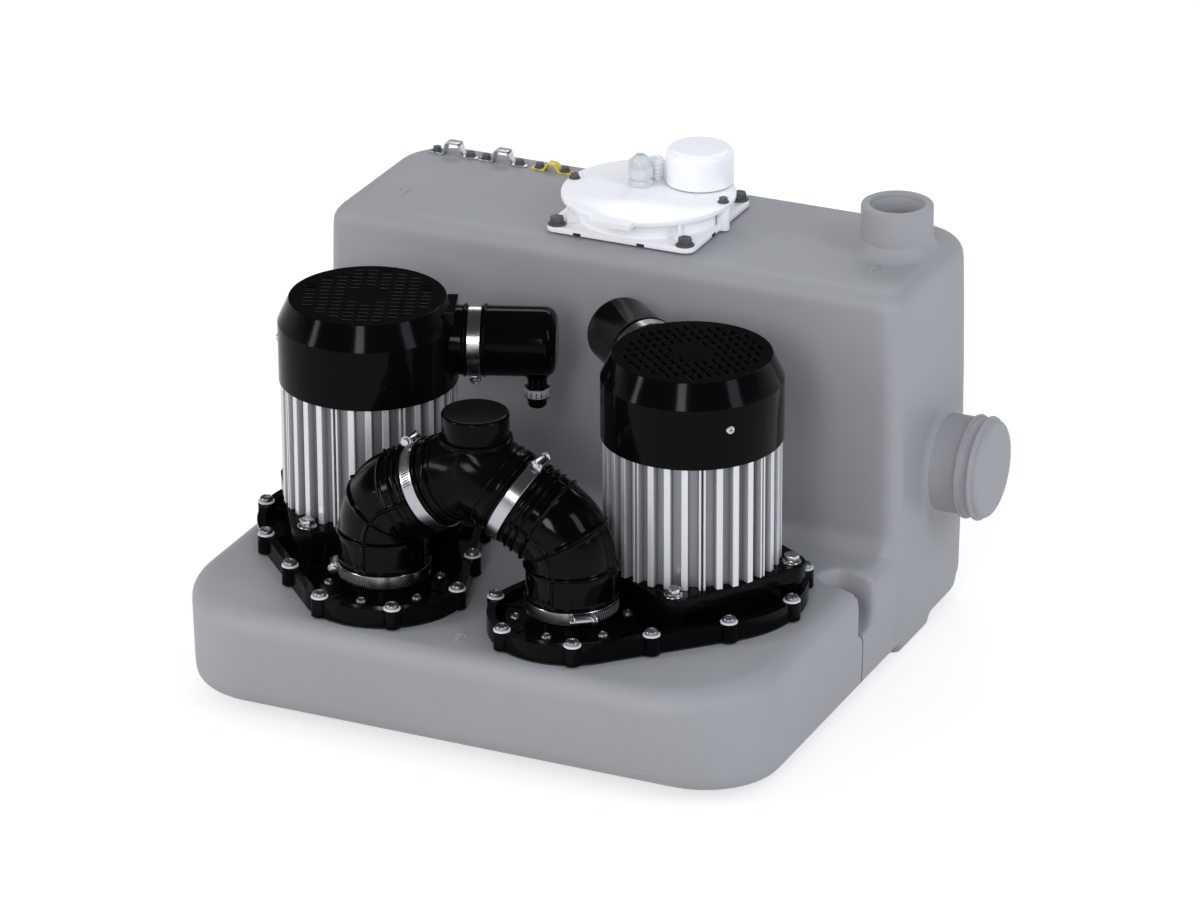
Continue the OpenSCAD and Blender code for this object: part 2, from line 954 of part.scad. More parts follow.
module vent_tube() {
    color("white")
        translate([vent_tube_x, cover_y + vent_tube_back, tank_top + lid_z])
            difference() {
                union() {
                    cylinder(r = vent_tube_r, h = vent_tube_h);
                    for (i = [1:vent_tube_rings])
                        translate([0, 0, i * vent_tube_h / (vent_tube_rings + 1)])
                            bead(vent_tube_r, vent_tube_ring_r);
                }
                translate([0, 0, -over])
                    cylinder(r = vent_tube_bore, h = vent_tube_h + 2 * over);
            }
}

module level_switch() {
    color("#333333")
        translate([0, cover_y, tank_top + lid_under - switch_h]) {
            translate([-switch_w / 2, -switch_d, 0])
                cube([switch_w, switch_d, switch_h]);
            translate([0, -switch_d / 2, -switch_neck_r])
                cylinder(r = switch_neck_r, h = switch_neck_r);
        }
}

module dip_tube() {
    top = tank_top + lid_under - switch_h - switch_neck_r;
    bottom = foot_h + tank_wall + dip_above_floor;
    color("#dddddd")
        translate([0, cover_y - switch_d / 2, 0]) {
            translate([0, 0, bottom])
                ring(dip_r, dip_r - dip_wall, top - bottom);
            translate([0, 0, top - dip_flange_t])
                ring(dip_flange_r, dip_r - dip_wall, dip_flange_t);
        }
}

// Places its children at the middle of one clip on the tank's top
module at_clip(i) {
    translate([-tank_w / 2 + clip_first + i * clip_pitch, tank_back - clip_from_back, tank_top])
        children();
}

// Places its children at every clip screw
module at_clip_screws() {
    for (i = [0:pipe_clip_count], s = sides)
        at_clip(i)
            translate([s * (i < pipe_clip_count ? clip_span : small_clip_span) / 2, 0, 0])
                children();
}

// A strap bent to a hat, with a screw hole in each ear
module hat_clip(span, hat_w, hat_h, strap_w) {
    ear_end = span / 2 + clip_ear;
    difference() {
        translate([0, strap_w / 2, 0])
            rotate([quarter_turn, 0, 0])
                linear_extrude(strap_w)
                    difference() {
                        union() {
                            translate([-ear_end, 0])
                                square([2 * ear_end, clip_t]);
                            translate([-hat_w / 2, 0])
                                square([hat_w, hat_h]);
                        }
                        translate([-hat_w / 2 + clip_t, -over])
                            square([hat_w - 2 * clip_t, hat_h - clip_t + over]);
                    }
        for (s = sides)
            translate([s * span / 2, 0, -over])
                cylinder(r = clip_screw_r + hole_gap, h = clip_t + 2 * over, $fn = fine_fn);
    }
}

module pipe_clips() {
    color("silver")
        for (i = [0:pipe_clip_count - 1])
            at_clip(i)
                hat_clip(clip_span, clip_hat_w, clip_hat_h, clip_strap_w);
}

module cable_clip() {
    color("gold")
        at_clip(pipe_clip_count)
            hat_clip(small_clip_span, small_clip_hat_w, small_clip_hat_h, small_clip_strap_w);
}

module clip_screws() {
    color("#444444")
        at_clip_screws()
            translate([0, 0, clip_t]) {
                cylinder(r = clip_screw_head_r, h = clip_screw_head_h, $fn = hex_sides);
                translate([0, 0, -clip_t - clip_screw_l])
                    cylinder(r = clip_screw_r, h = clip_t + clip_screw_l, $fn = fine_fn);
            }
}

// Flat parts of the pump's foot

module flange_gaskets() {
    color("#1a1a1a")
        for (side = sides)
            at_pump(side)
                difference() {
                    linear_extrude(gasket_t)
                        difference() {
                            pear(flange_r - over, flange_nose_r - over);
                            pear(flange_r - opening_inset, flange_nose_r - opening_inset);
                        }
                    at_flange_bolts()
                        translate([0, 0, -over])
                            cylinder(r = bolt_r + hole_gap, h = gasket_t + 2 * over,
                                $fn = fine_fn);
                }
}

module nozzle_space() {
    translate([outlet_reach, 0, 0]) {
        translate([0, 0, gasket_t - over])
            cylinder(r = seat_r, h = nozzle_top);
        translate([0, 0, port_h])
            cylinder(r = nozzle_r - nozzle_wall, h = nozzle_top);
    }
}

// The two lugs that carry the flap's pin, inside the nozzle on the motor's side
module flap_lugs() {
    translate([outlet_reach - flap_hinge_back, 0, port_h])
        for (s = sides)
            translate([0, s * (flap_barrel_l / 2 + flap_lug_t / 2 + flap_rise), 0])
                difference() {
                    translate([-flap_barrel_r - 2 * over, -flap_lug_t / 2, -over])
                        cube([2 * flap_barrel_r + 2 * over, flap_lug_t,
                            flap_rise + 2 * flap_barrel_r + over]);
                    translate([0, 0, flap_rise + flap_barrel_r])
                        rotate([quarter_turn, 0, 0])
                            cylinder(r = flap_pin_r + run_gap, h = 2 * flap_lug_t, center = true,
                                $fn = fine_fn);
                }
}

module pump_flange(side) {
    body_h = rim_h - gasket_t;
    color("#151515")
        at_pump(side) {
            difference() {
                union() {
                    translate([0, 0, gasket_t]) {
                        linear_extrude(plate_t)
                            pear(flange_r, flange_nose_r);
                        linear_extrude(body_h)
                            difference() {
                                pear(flange_r, flange_nose_r);
                                pear(flange_r - rim_w, flange_nose_r - rim_w);
                            }
                        at_flange_bolts()
                            cylinder(r = boss_r, h = body_h);
                        at_pillars()
                            cylinder(r = pillar_r, h = motor_plate_z - gasket_t);
                        cylinder(r = hub_r, h = motor_plate_z - gasket_t);
                        for (s = sides, a = bolt_angles)
                            rotate(s * a)
                                translate([lantern_r - lantern_wall / 2, -rib_t / 2, 0])
                                    cube([flange_r - rim_w - lantern_r + lantern_wall,
                                        rib_t, plate_t + rib_h]);
                        for (a = nose_angles)
                            translate([outlet_reach, 0, 0])
                                rotate(a)
                                    translate([nozzle_r - nozzle_wall / 2, -rib_t / 2, 0])
                                        cube([flange_nose_r - rim_w - nozzle_r + nozzle_wall,
                                            rib_t, plate_t + rib_h]);
                    }
                    translate([0, 0, gasket_t])
                        ring(lantern_r, lantern_r - lantern_wall, motor_plate_z - gasket_t);
                    translate([outlet_reach, 0, gasket_t])
                        cylinder(r = port_r, h = port_h - gasket_t);
                    translate([outlet_reach, 0, gasket_t])
                        cylinder(r = nozzle_r, h = nozzle_top - gasket_t);
                }
                nozzle_space();
                translate([0, 0, gasket_t - over])
                    cylinder(r = seal_r + fit_gap, h = motor_plate_z + over);
                at_flange_bolts()
                    translate([0, 0, gasket_t - over])
                        cylinder(r = bolt_r + hole_gap, h = rim_h + over, $fn = fine_fn);
                at_pillars()
                    translate([0, 0, gasket_t + plate_t])
                        cylinder(r = bolt_r + fit_gap, h = motor_plate_z, $fn = fine_fn);
                at_port_screws()
                    translate([0, 0, port_h - port_screw_l])
                        cylinder(r = port_screw_r + fit_gap, h = port_screw_l + over,
                            $fn = fine_fn);
            }
            intersection() {
                flap_lugs();
                translate([outlet_reach, 0, port_h - over])
                    cylinder(r = nozzle_r - nozzle_wall / 2, h = nozzle_top);
            }
        }
}

// Places its children at the small screws round the outlet port
module at_port_screws() {
    translate([outlet_reach, 0, 0])
        for (a = port_screw_angles)
            rotate(a)
                translate([port_screw_circle_r, 0, 0])
                    children();
}

module flange_bolts() {
    color("silver")
        for (side = sides)
            at_pump(side)
                at_flange_bolts() {
                    translate([0, 0, rim_h])
                        cylinder(r = washer_r, h = washer_t);
                    translate([0, 0, rim_h + washer_t])
                        rotate_extrude()
                            edge_profile(head_r, head_h, 0, head_h / 2);
                    translate([0, 0, -tank_wall])
                        cylinder(r = bolt_r, h = tank_wall + rim_h, $fn = fine_fn);
                }
}

module port_screws() {
    color("silver")
        for (side = sides)
            at_pump(side)
                at_port_screws()
                    translate([0, 0, port_h]) {
                        rotate_extrude()
                            edge_profile(port_screw_head_r, port_screw_head_h, 0,
                                port_screw_head_h / 2);
                        translate([0, 0, -port_screw_l])
                            cylinder(r = port_screw_r, h = port_screw_l, $fn = fine_fn);
                    }
}

module plate_bolts() {
    color("silver")
        for (side = sides)
            at_pump(side)
                at_pillars()
                    translate([0, 0, motor_z])
                        hex_bolt(motor_z - gasket_t - plate_t - over);
}

module motor_plate(side) {
    color("#151515")
        at_pump(side)
            translate([0, 0, motor_plate_z])
                difference() {
                    linear_extrude(motor_plate_t)
                        round_square(motor_plate_w, motor_plate_w, motor_plate_corner_r);
                    translate([0, 0, -over])
                        cylinder(r = hub_r, h = motor_plate_t + 2 * over);
                    at_pillars()
                        translate([0, 0, -over])
                            cylinder(r = bolt_r + hole_gap, h = motor_plate_t + 2 * over,
                                $fn = fine_fn);
                }
}

module pump_casing(side) {
    out_r = flange_r - opening_inset - casing_inset;
    nose_r = flange_nose_r - opening_inset - casing_inset;
    color("#2b2b2b")
        at_pump(side)
            translate([0, 0, gasket_t - casing_h]) {
                linear_extrude(casing_h)
                    difference() {
                        pear(out_r, nose_r);
                        pear(out_r - casing_wall, nose_r - casing_wall);
                    }
                linear_extrude(casing_wall)
                    difference() {
                        pear(out_r, nose_r);
                        circle(intake_r);
                    }
            }
}

module impeller(side) {
    color("#444444")
        at_pump(side)
            translate([0, 0, impeller_z])
                difference() {
                    union() {
                        translate([0, 0, impeller_vane_h])
                            cylinder(r = impeller_r, h = impeller_disc_t);
                        cylinder(r = impeller_hub_r, h = impeller_vane_h + impeller_disc_t);
                        for (i = [1:impeller_vanes])
                            rotate(i * full_turn / impeller_vanes)
                                translate([impeller_hub_r - over, -impeller_vane_t / 2, over])
                                    cube([impeller_r - impeller_hub_r, impeller_vane_t,
                                        impeller_vane_h]);
                    }
                    translate([0, 0, -over])
                        cylinder(r = shaft_r, h = impeller_vane_h + impeller_disc_t + 2 * over);
                }
}

module motor_shaft(side) {
    color("silver")
        at_pump(side)
            translate([0, 0, shaft_bottom])
                cylinder(r = shaft_r, h = shaft_top - shaft_bottom);
}

module shaft_seal(side) {
    color("#553322")
        at_pump(side)
            translate([0, 0, gasket_t])
                ring(seal_r, shaft_r + run_gap, seal_l);
}

module bearings(side) {
    color("#c0c0c0")
        at_pump(side) {
            translate([0, 0, motor_z + housing_floor - bearing_t])
                ring(bearing_r, shaft_r + run_gap, bearing_t);
            translate([0, 0, shield_z + shield_hub_h - bearing_t])
                ring(bearing_r, shaft_r + run_gap, bearing_t);
        }
}

// Fins round a motor; every fourth one is a thin pair
module fin_section() {
    circle(fin_root_r);
    for (i = [0:fin_places - 1])
        rotate(i * full_turn / fin_places + fin_turn)
            if (i % pair_every == first_pair) {
                for (s = sides)
                    translate([0, s * (pair_gap + pair_fin_t) / 2 - pair_fin_t / 2])
                        square([fin_tip_r, pair_fin_t]);
            } else {
                translate([0, -fin_t / 2])
                    square([fin_tip_r, fin_t]);
            }
}

module motor_housing(side) {
    color("#c9cacc")
        at_pump(side)
            translate([0, 0, motor_z])
                difference() {
                    linear_extrude(motor_l + fin_hidden)
                        fin_section();
                    translate([0, 0, housing_floor])
                        cylinder(r = fin_root_r - housing_wall, h = motor_l + fin_hidden);
                    translate([0, 0, -over])
                        cylinder(r = bearing_r + fit_gap, h = housing_floor + 2 * over);
                }
}

module stator(side) {
    bore = fin_root_r - housing_wall;
    color("#8a4b2a")
        at_pump(side) {
            translate([0, 0, stator_z0])
                ring(bore, stator_in_r, stator_z1 - stator_z0);
            for (z = [stator_z0 - stator_winding_h, stator_z1])
                translate([0, 0, z])
                    ring(bore - stator_winding_in, stator_in_r + stator_winding_in,
                        stator_winding_h);
        }
}

module rotor_core(side) {
    color("#70757c")
        at_pump(side)
            translate([0, 0, stator_z0 + rotor_end])
                ring(stator_in_r - air_gap, shaft_r, stator_z1 - stator_z0 - 2 * rotor_end);
}

module end_shields() {
    color("#c9cacc")
        for (side = sides)
            at_pump(side)
                translate([0, 0, shield_z])
                    difference() {
                        union() {
                            cylinder(r = fin_root_r - housing_wall, h = shield_t);
                            cylinder(r = bearing_hub_r, h = shield_hub_h);
                        }
                        translate([0, 0, -over])
                            cylinder(r = bearing_r + fit_gap, h = shield_hub_h + 2 * over);
                    }
}

module motor_fan(side) {
    color("#202020")
        at_pump(side)
            translate([0, 0, fan_z])
                difference() {
                    union() {
                        cylinder(r = fan_r, h = fan_disc_t);
                        cylinder(r = fan_hub_r, h = fan_blade_h);
                        for (i = [1:fan_blades])
                            rotate(i * full_turn / fan_blades)
                                translate([fan_hub_r - over, -fan_blade_t / 2, 0])
                                    cube([fan_r - fan_hub_r, fan_blade_t, fan_blade_h - over]);
                    }
                    translate([0, 0, -over])
                        cylinder(r = shaft_r, h = fan_blade_h + 2 * over);
                }
}

// The small slots in the fan cover's flat top
module top_slots() {
    for (i = [-slot_columns:slot_columns], j = [-slot_rows:slot_rows]) {
        x = i * slot_pitch_x;
        y = j * slot_pitch_y;
        place_r = sqrt(x * x + y * y);
        if (place_r < slot_field_r && place_r > slot_blank_r)
            translate([x, y])
                square([slot_l, slot_w], center = true);
    }
}

// The fan cover's outside, made smaller by the margin
module cover_profile(inset, skirt_r) {
    translate([0, cover_z0])
        polygon([
            [0, -inset],
            [skirt_r, -inset],
            [skirt_r, fin_hidden],
            [fan_cover_r - inset, fin_hidden],
            [fan_cover_r - inset, fan_cover_h - cover_chamfer_h],
            [cover_top_r - inset, fan_cover_h - inset],
            [0, fan_cover_h - inset]]);
}

module fan_cover(side) {
    spigot_out = pot_r - pot_wall - fit_gap;
    color("#151515")
        at_pump(side)
            difference() {
                union() {
                    rotate_extrude()
                        cover_profile(0, fan_cover_r);
                    at_pot(side) {
                        cylinder(r = spigot_out, h = pot_start + spigot_l);
                        cylinder(r = pot_r, h = pot_start - fit_gap);
                    }
                    rotate(pot_turn + (side > 0 ? half_turn : 0))
                        translate([0, -saddle_w / 2, pot_z])
                            cube([pot_start - 2 * neck_wall, saddle_w,
                                cover_z1 - neck_top_drop - pot_z]);
                }
                rotate_extrude()
                    cover_profile(cover_wall, fin_tip_r + fit_gap);
                at_pot(side)
                    cylinder(r = spigot_out - neck_wall, h = pot_start + spigot_l + over);
                translate([0, 0, cover_z1 - cover_wall - over])
                    linear_extrude(cover_wall + 2 * over)
                        rotate(pot_turn)
                            top_slots();
                at_cover_screw(side)
                    cylinder(r = cover_screw_r + fit_gap, h = fan_cover_r + over, $fn = fine_fn);
            }
}

// Turns its children to the fan cover's screw, opposite the pot, with +Z outwards
module at_cover_screw(side) {
    rotate(pot_turn + (side > 0 ? 0 : half_turn))
        translate([0, 0, cover_z0 + cover_screw_z])
            rotate([0, quarter_turn, 0])
                children();
}

module fan_cover_screws() {
    color("silver")
        for (side = sides)
            at_pump(side)
                at_cover_screw(side)
                    translate([0, 0, fan_cover_r]) {
                        cylinder(r = cover_screw_head_r, h = cover_screw_head_h, $fn = fine_fn);
                        translate([0, 0, -cover_wall / 2])
                            cylinder(r = cover_screw_r, h = cover_wall / 2, $fn = fine_fn);
                    }
}

module capacitor_pot(side) {
    color("#151515")
        at_pump(side)
            at_pot(side)
                difference() {
                    translate([0, 0, pot_start]) {
                        rotate_extrude()
                            edge_profile(pot_r, pot_l, 0, pot_end_r);
                        for (s = sides)
                            translate([0, 0,
                                pot_band_at + s * (band_w / 2 + pot_bead_gap + pot_bead_r)])
                                bead(pot_r, pot_bead_r);
                        translate([0, 0, pot_l - gland_from_end])
                            rotate([0, quarter_turn, 0])
                                cylinder(r = gland_seat_r, h = pot_r + gland_seat_h);
                    }
                    translate([0, 0, pot_start - over]) {
                        cylinder(r = pot_r - pot_wall, h = pot_l - pot_end_r + over);
                    }
                    translate([0, 0, pot_start + pot_l - gland_from_end])
                        rotate([0, quarter_turn, 0])
                            cylinder(r = gland_bore_r, h = 2 * pot_r, $fn = fine_fn);
                }
}

module capacitors() {
    color("#9aa7b5")
        for (side = sides)
            at_pump(side)
                at_pot(side)
                    translate([0, 0, pot_start + pot_l - pot_end_r - capacitor_l])
                        cylinder(r = capacitor_r, h = capacitor_l);
}

module pot_gland(side) {
    color("#1c1c1c")
        at_pump(side)
            at_pot(side)
                translate([0, 0, pot_start + pot_l - gland_from_end])
                    rotate([0, quarter_turn, 0])
                        translate([0, 0, pot_r + gland_seat_h])
                            difference() {
                                union() {
                                    cylinder(r = gland_neck_r, h = gland_neck_l);
                                    translate([0, 0, gland_neck_l])
                                        cylinder(r = gland_nut_r, h = gland_nut_l,
                                            $fn = hex_sides);
                                    translate([0, 0, gland_neck_l + gland_nut_l])
                                        rotate_extrude()
                                            edge_profile(gland_neck_r, gland_tip_l, 0,
                                                gland_tip_l / 2);
                                }
                                translate([0, 0, -over])
                                    cylinder(r = gland_bore_r, h = 2 * pot_r, $fn = fine_fn);
                            }
}

// A worm-drive band round a tube along Z, its middle at z = 0, its worm towards +X
module worm_band(r) {
    translate([0, 0, -band_w / 2])
        ring(r + band_t, r + fit_gap, band_w);
    difference() {
        translate([r, -worm_l / 2, -worm_w / 2])
            cube([worm_h, worm_l, worm_w]);
        translate([0, 0, -worm_w])
            cylinder(r = r + fit_gap, h = 2 * worm_w);
    }
    translate([r + worm_h / 2 + band_t, -worm_screw_l / 2, 0])
        rotate([-quarter_turn, 0, 0])
            cylinder(r = worm_screw_r, h = worm_screw_l, $fn = fine_fn);
}

module pot_bands() {
    color("silver")
        for (side = sides)
            at_pump(side)
                at_pot(side)
                    translate([0, 0, pot_start + pot_band_at])
                        worm_band(pot_r);
}

module boot_bands() {
    color("silver")
        for (side = sides)
            at_outlet(side) {
                translate([0, 0, lower_band_z])
                    rotate(lower_worm_turns[side > 0 ? 1 : 0])
                        worm_band(boot_r);
                at_arm(arm_band_l)
                    rotate(upper_worm_turn)
                        worm_band(boot_r);
            }
}

// The elbow's course with a given radius, from its lower end to the end of its arm.
// The bend is a little slimmer than the two cuffs, which run a little way over it.
module elbow_run(r, arm_end, past) {
    translate([0, 0, boot_bottom - past])
        cylinder(r = r, h = boot_bend_start - boot_bottom + past + cuff_over);
    translate([-boot_bend_r, 0, boot_bend_start])
        rotate([quarter_turn, 0, 0])
            rotate(-bend_over)
                rotate_extrude(angle = bend_angle + 2 * bend_over)
                    translate([boot_bend_r, 0])
                        circle(r - bend_step);
    at_arm(-cuff_over)
        cylinder(r = r, h = arm_end + past + cuff_over);
}

module elbow_boot(side) {
    color("#101010")
        at_outlet(side)
            difference() {
                union() {
                    elbow_run(boot_r, boot_arm_l, 0);
                    translate([0, 0, boot_bend_start])
                        bead(boot_r, boot_ring_r);
                    for (share = boot_ring_shares)
                        at_arm(arm_band_l * share)
                            bead(boot_r, boot_ring_r);
                }
                elbow_run(boot_r - boot_wall, boot_arm_l, over);
            }
}

// One arm of the manifold, cut off a little past the middle
module manifold_arm(side, r, start) {
    intersection() {
        at_outlet(side)
            at_arm(start)
                cylinder(r = r, h = arm_total_l - start + arm_body_r);
        translate([pump_mid_x + side * (outlet_x / 2 - over), outlet_y, tray_top + meet_z])
            cube([outlet_x, 2 * boot_r, 2 * meet_z], center = true);
    }
}

module outlet_manifold() {
    spigot_start = boot_arm_l - arm_spigot_l;
    neck_z = tray_top + lip_z;
    color("#121212")
        difference() {
            union() {
                for (side = sides) {
                    manifold_arm(side, arm_r, spigot_start);
                    manifold_arm(side, arm_body_r, boot_arm_l + over);
                    at_outlet(side)
                        at_arm(boot_arm_l + collar_w)
                            cylinder(r = arm_body_r + collar_r, h = collar_w);
                }
                translate([pump_mid_x, outlet_y, tray_top + meet_z])
                    cylinder(r = neck_r, h = neck_top_above_meet + lip_t / 2);
                translate([pump_mid_x, outlet_y, neck_z]) {
                    cylinder(r = lip_r, h = lip_t);
                    cylinder(r = spigot_r, h = lip_t + outlet_spigot_h);
                }
            }
            for (side = sides)
                manifold_arm(side, arm_r - arm_wall, spigot_start - over);
            translate([pump_mid_x, outlet_y, tray_top + meet_z])
                cylinder(r = spigot_r - outlet_wall,
                    h = neck_top_above_meet + lip_t + outlet_spigot_h + over);
            translate([0, 0, lip_t + outlet_spigot_h / 2])
                translate([pump_mid_x, outlet_y, neck_z])
                    ring(spigot_r + over, spigot_r - cap_seal_t, cap_seal_t);
            translate([pump_mid_x, outlet_y, neck_z + lip_t])
                ring(lip_r, spigot_r + cap_gap / 2, outlet_spigot_h);
        }
}

module outlet_cap() {
    color("#0d0d0d")
        translate([pump_mid_x, outlet_y, tray_top + lip_z + lip_t])
            difference() {
                rotate_extrude()
                    edge_profile(cap_r, cap_h, 0, cap_edge_r);
                translate([0, 0, -over])
                    cylinder(r = cap_r - cap_wall, h = outlet_spigot_h + fit_gap + over);
            }
}

module cap_seal() {
    color("#303030")
        translate([pump_mid_x, outlet_y, tray_top + lip_z + lip_t + outlet_spigot_h / 2])
            ring(spigot_r, spigot_r - cap_seal_t, cap_seal_t);
}

// The flap: a disc on the seat with an arm to its hinge barrel and pin
module valve_flap(side) {
    axis_z = flap_rise + flap_barrel_r;
    color("#222222")
        at_pump(side)
            translate([outlet_reach, 0, port_h]) {
                translate([0, 0, flap_rise]) {
                    cylinder(r = flap_r, h = flap_t);
                    cylinder(r = flap_boss_r, h = flap_t + flap_boss_t);
                    translate([-flap_hinge_back, -flap_arm_w / 2, flap_t / 2])
                        cube([flap_hinge_back, flap_arm_w, flap_t]);
                }
                translate([-flap_hinge_back, 0, axis_z])
                    rotate([quarter_turn, 0, 0]) {
                        cylinder(r = flap_barrel_r, h = flap_barrel_l, center = true);
                        cylinder(r = flap_pin_r, h = flap_pin_l, center = true, $fn = fine_fn);
                    }
            }
}

tank();
top_marks();
cover_gasket();
cover_base();
cover_bolts();
cover_lid();
lid_screws();
lid_gland();
vent_cap();
vent_tube();
level_switch();
dip_tube();
pipe_clips();
cable_clip();
clip_screws();
outlet_manifold();
outlet_cap();
cap_seal();
flange_gaskets();
flange_bolts();
plate_bolts();
port_screws();
fan_cover_screws();
end_shields();
capacitors();
pot_bands();
boot_bands();
pump_flange(-1);  // left_flange
pump_casing(-1);  // left_casing
impeller(-1);  // left_impeller
motor_shaft(-1);  // left_shaft
shaft_seal(-1);  // left_seal
bearings(-1);  // left_bearings
motor_plate(-1);  // left_motor_plate
motor_housing(-1);  // left_housing
stator(-1);  // left_stator
rotor_core(-1);  // left_rotor
motor_fan(-1);  // left_fan
fan_cover(-1);  // left_fan_cover
capacitor_pot(-1);  // left_pot
pot_gland(-1);  // left_pot_gland
elbow_boot(-1);  // left_boot
valve_flap(-1);  // left_flap
pump_flange(1);  // right_flange
pump_casing(1);  // right_casing
impeller(1);  // right_impeller
motor_shaft(1);  // right_shaft
shaft_seal(1);  // right_seal
bearings(1);  // right_bearings
motor_plate(1);  // right_motor_plate
motor_housing(1);  // right_housing
stator(1);  // right_stator
rotor_core(1);  // right_rotor
motor_fan(1);  // right_fan
fan_cover(1);  // right_fan_cover
capacitor_pot(1);  // right_pot
pot_gland(1);  // right_pot_gland
elbow_boot(1);  // right_boot
valve_flap(1);  // right_flap
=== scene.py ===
import json
import math
import bpy
import bmesh
from mathutils import Matrix, Vector

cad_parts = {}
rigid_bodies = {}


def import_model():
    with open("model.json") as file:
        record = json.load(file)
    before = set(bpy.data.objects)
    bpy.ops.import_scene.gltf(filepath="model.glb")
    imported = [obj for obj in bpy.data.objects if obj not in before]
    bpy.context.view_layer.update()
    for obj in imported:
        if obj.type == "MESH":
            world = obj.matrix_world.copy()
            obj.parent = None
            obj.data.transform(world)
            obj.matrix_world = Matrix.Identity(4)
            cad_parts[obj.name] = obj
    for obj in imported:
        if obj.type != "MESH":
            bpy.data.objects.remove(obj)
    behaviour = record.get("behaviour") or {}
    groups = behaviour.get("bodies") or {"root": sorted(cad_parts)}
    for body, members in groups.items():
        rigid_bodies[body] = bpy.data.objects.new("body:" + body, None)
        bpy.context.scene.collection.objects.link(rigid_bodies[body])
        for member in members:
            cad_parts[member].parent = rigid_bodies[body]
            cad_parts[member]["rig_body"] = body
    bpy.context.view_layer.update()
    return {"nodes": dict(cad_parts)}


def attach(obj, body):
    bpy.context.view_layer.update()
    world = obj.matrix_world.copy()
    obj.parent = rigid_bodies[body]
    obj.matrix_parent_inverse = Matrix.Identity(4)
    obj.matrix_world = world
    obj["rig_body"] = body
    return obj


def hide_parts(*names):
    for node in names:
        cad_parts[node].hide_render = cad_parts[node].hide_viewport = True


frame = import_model()

mm = 0.001
# A turned profile starts and ends this close to its axis
AXIS = 0.01
SIDES = {"left": -1, "right": 1}

# Places, as in the solid model, in millimetres
TRAY_TOP = 113.5
TANK_TOP = 369.0
TANK_LOW = 8.0
TANK_SIDE = 292.5
TOWER_FRONT = 78.0
PUMP_MID, PUMP_Y, PUMP_HALF = -8.35, -76.2, 163.5
OUTLET_TURN, OUTLET_REACH = 31.6, 132.0
NECK_RISE, LIP_BEAD_R, LIP_BEAD = 27, 32.6, 1.5
OUTLET_X = PUMP_HALF - OUTLET_REACH * math.sin(math.radians(OUTLET_TURN))
OUTLET_Y = PUMP_Y - OUTLET_REACH * math.cos(math.radians(OUTLET_TURN))
COVER_Y = 172.5
LID_TOP = TANK_TOP + 29
TOP_STUB_X, TOP_STUB_Y, TOP_STUB_BORE = 240.9, 199.4, 23.7
SIDE_STUB_Y, SIDE_STUB_Z = 190, 166
FLANGE_TOP, PLATE_TOP, PORT_TOP = 19.5, 42, 14
FLANGE_BOLT_R, NOSE_BOLT_R, PLATE_BOLT_R, PORT_SCREW_R = 105, 75, 92, 51
FLANGE_BOLT_TURNS, NOSE_BOLT_TURNS = (74, 115, 155), (0, -57, 57)
CORNER_BOLT_X, CORNER_BOLT_Y = 101.7, 84.1
COVER_BOLT_X, COVER_BOLT_Y, COVER_BASE_T = 65.5, 63.5, 7
LID_SCREW_X, LID_GLAND_X, LID_GLAND_BACK = 76.6, -13, 10.5
HOOD_SCREW_OUT, HOOD_SCREW_UP = 83.4, 198.3
POT_BAND, POT_GLAND, GLAND_RING = 99.5, 156, 34.2
FOOT_BAND, WORM_TURN = 30, {-1: 25, 1: -53}
TOP_MARK_Y, TRAY_MARK_Y = 131.4, -252
PORT_SCREW_TURNS = range(-30, 300, 60)
FEET = ((-265.5, 105), (265.5, 105), (-194.5, -207), (194.5, -207), (0, -39))
NOTCH_X, NOTCH_Y, NOTCH_R, NOTCH_FLOOR = 263.5, 14.5, 17.5, 63
SLIT_Y, SLIT_WIDE = 5.25, 2.5
POT_TURN, POT_Z = 79.4, 199.5
CLIP_X, CLIP_STEP, CLIP_Y, CLIP_T = -240, 52.5, 248, 1.8
CLIP_SCREWS = (18, 18, 13.5)
ARM_TURN = math.radians(61.5)
BEND_R, BEND_START = 43.0, 67.0
ARM_BAND = 33.0
BOOT_ARM = 42.0
BOOT_FOOT = 21.0
CUFF = BEND_START - BOOT_FOOT
BEND_END = CUFF + BEND_R * ARM_TURN
BOOT_LONG = BEND_END + BOOT_ARM
BOOT_OUTSIDE, BOOT_INSIDE, BOOT_EDGE = 41.2, 37.7, 2.0
BOOT_BAND_R, POT_BAND_R, BAND_WIDE, BAND_PROUD = 41.9, 32.6, 12.0, 1.15


def spin(angle, axis="Z"):
    return Matrix.Rotation(math.radians(angle), 4, axis)


def shift(x=0.0, y=0.0, z=0.0):
    return Matrix.Translation(Vector((x, y, z)))


def at_pump(side):
    return shift(PUMP_MID + side * PUMP_HALF, PUMP_Y, TRAY_TOP) @ spin(-90 - side * OUTLET_TURN)


def at_outlet(side):
    return shift(PUMP_MID + side * OUTLET_X, OUTLET_Y, TRAY_TOP) @ spin(180 if side < 0 else 0)


def at_arm(side, along):
    start = shift(-BEND_R * (1 - math.cos(ARM_TURN)), 0, BEND_START + BEND_R * math.sin(ARM_TURN))
    return at_outlet(side) @ start @ Matrix.Rotation(-ARM_TURN, 4, "Y") @ shift(0, 0, along)


def at_top_stub():
    return shift(TOP_STUB_X, TOP_STUB_Y, 0)


def at_side_stub():
    return shift(TANK_SIDE, SIDE_STUB_Y, SIDE_STUB_Z) @ spin(90, "Y")


def at_clip(number):
    return shift(CLIP_X + CLIP_STEP * number, CLIP_Y, TANK_TOP)


def at_pot(side):
    turn = POT_TURN + (180 if side > 0 else 0)
    return at_pump(side) @ spin(turn) @ shift(0, 0, POT_Z) @ spin(90, "Y")


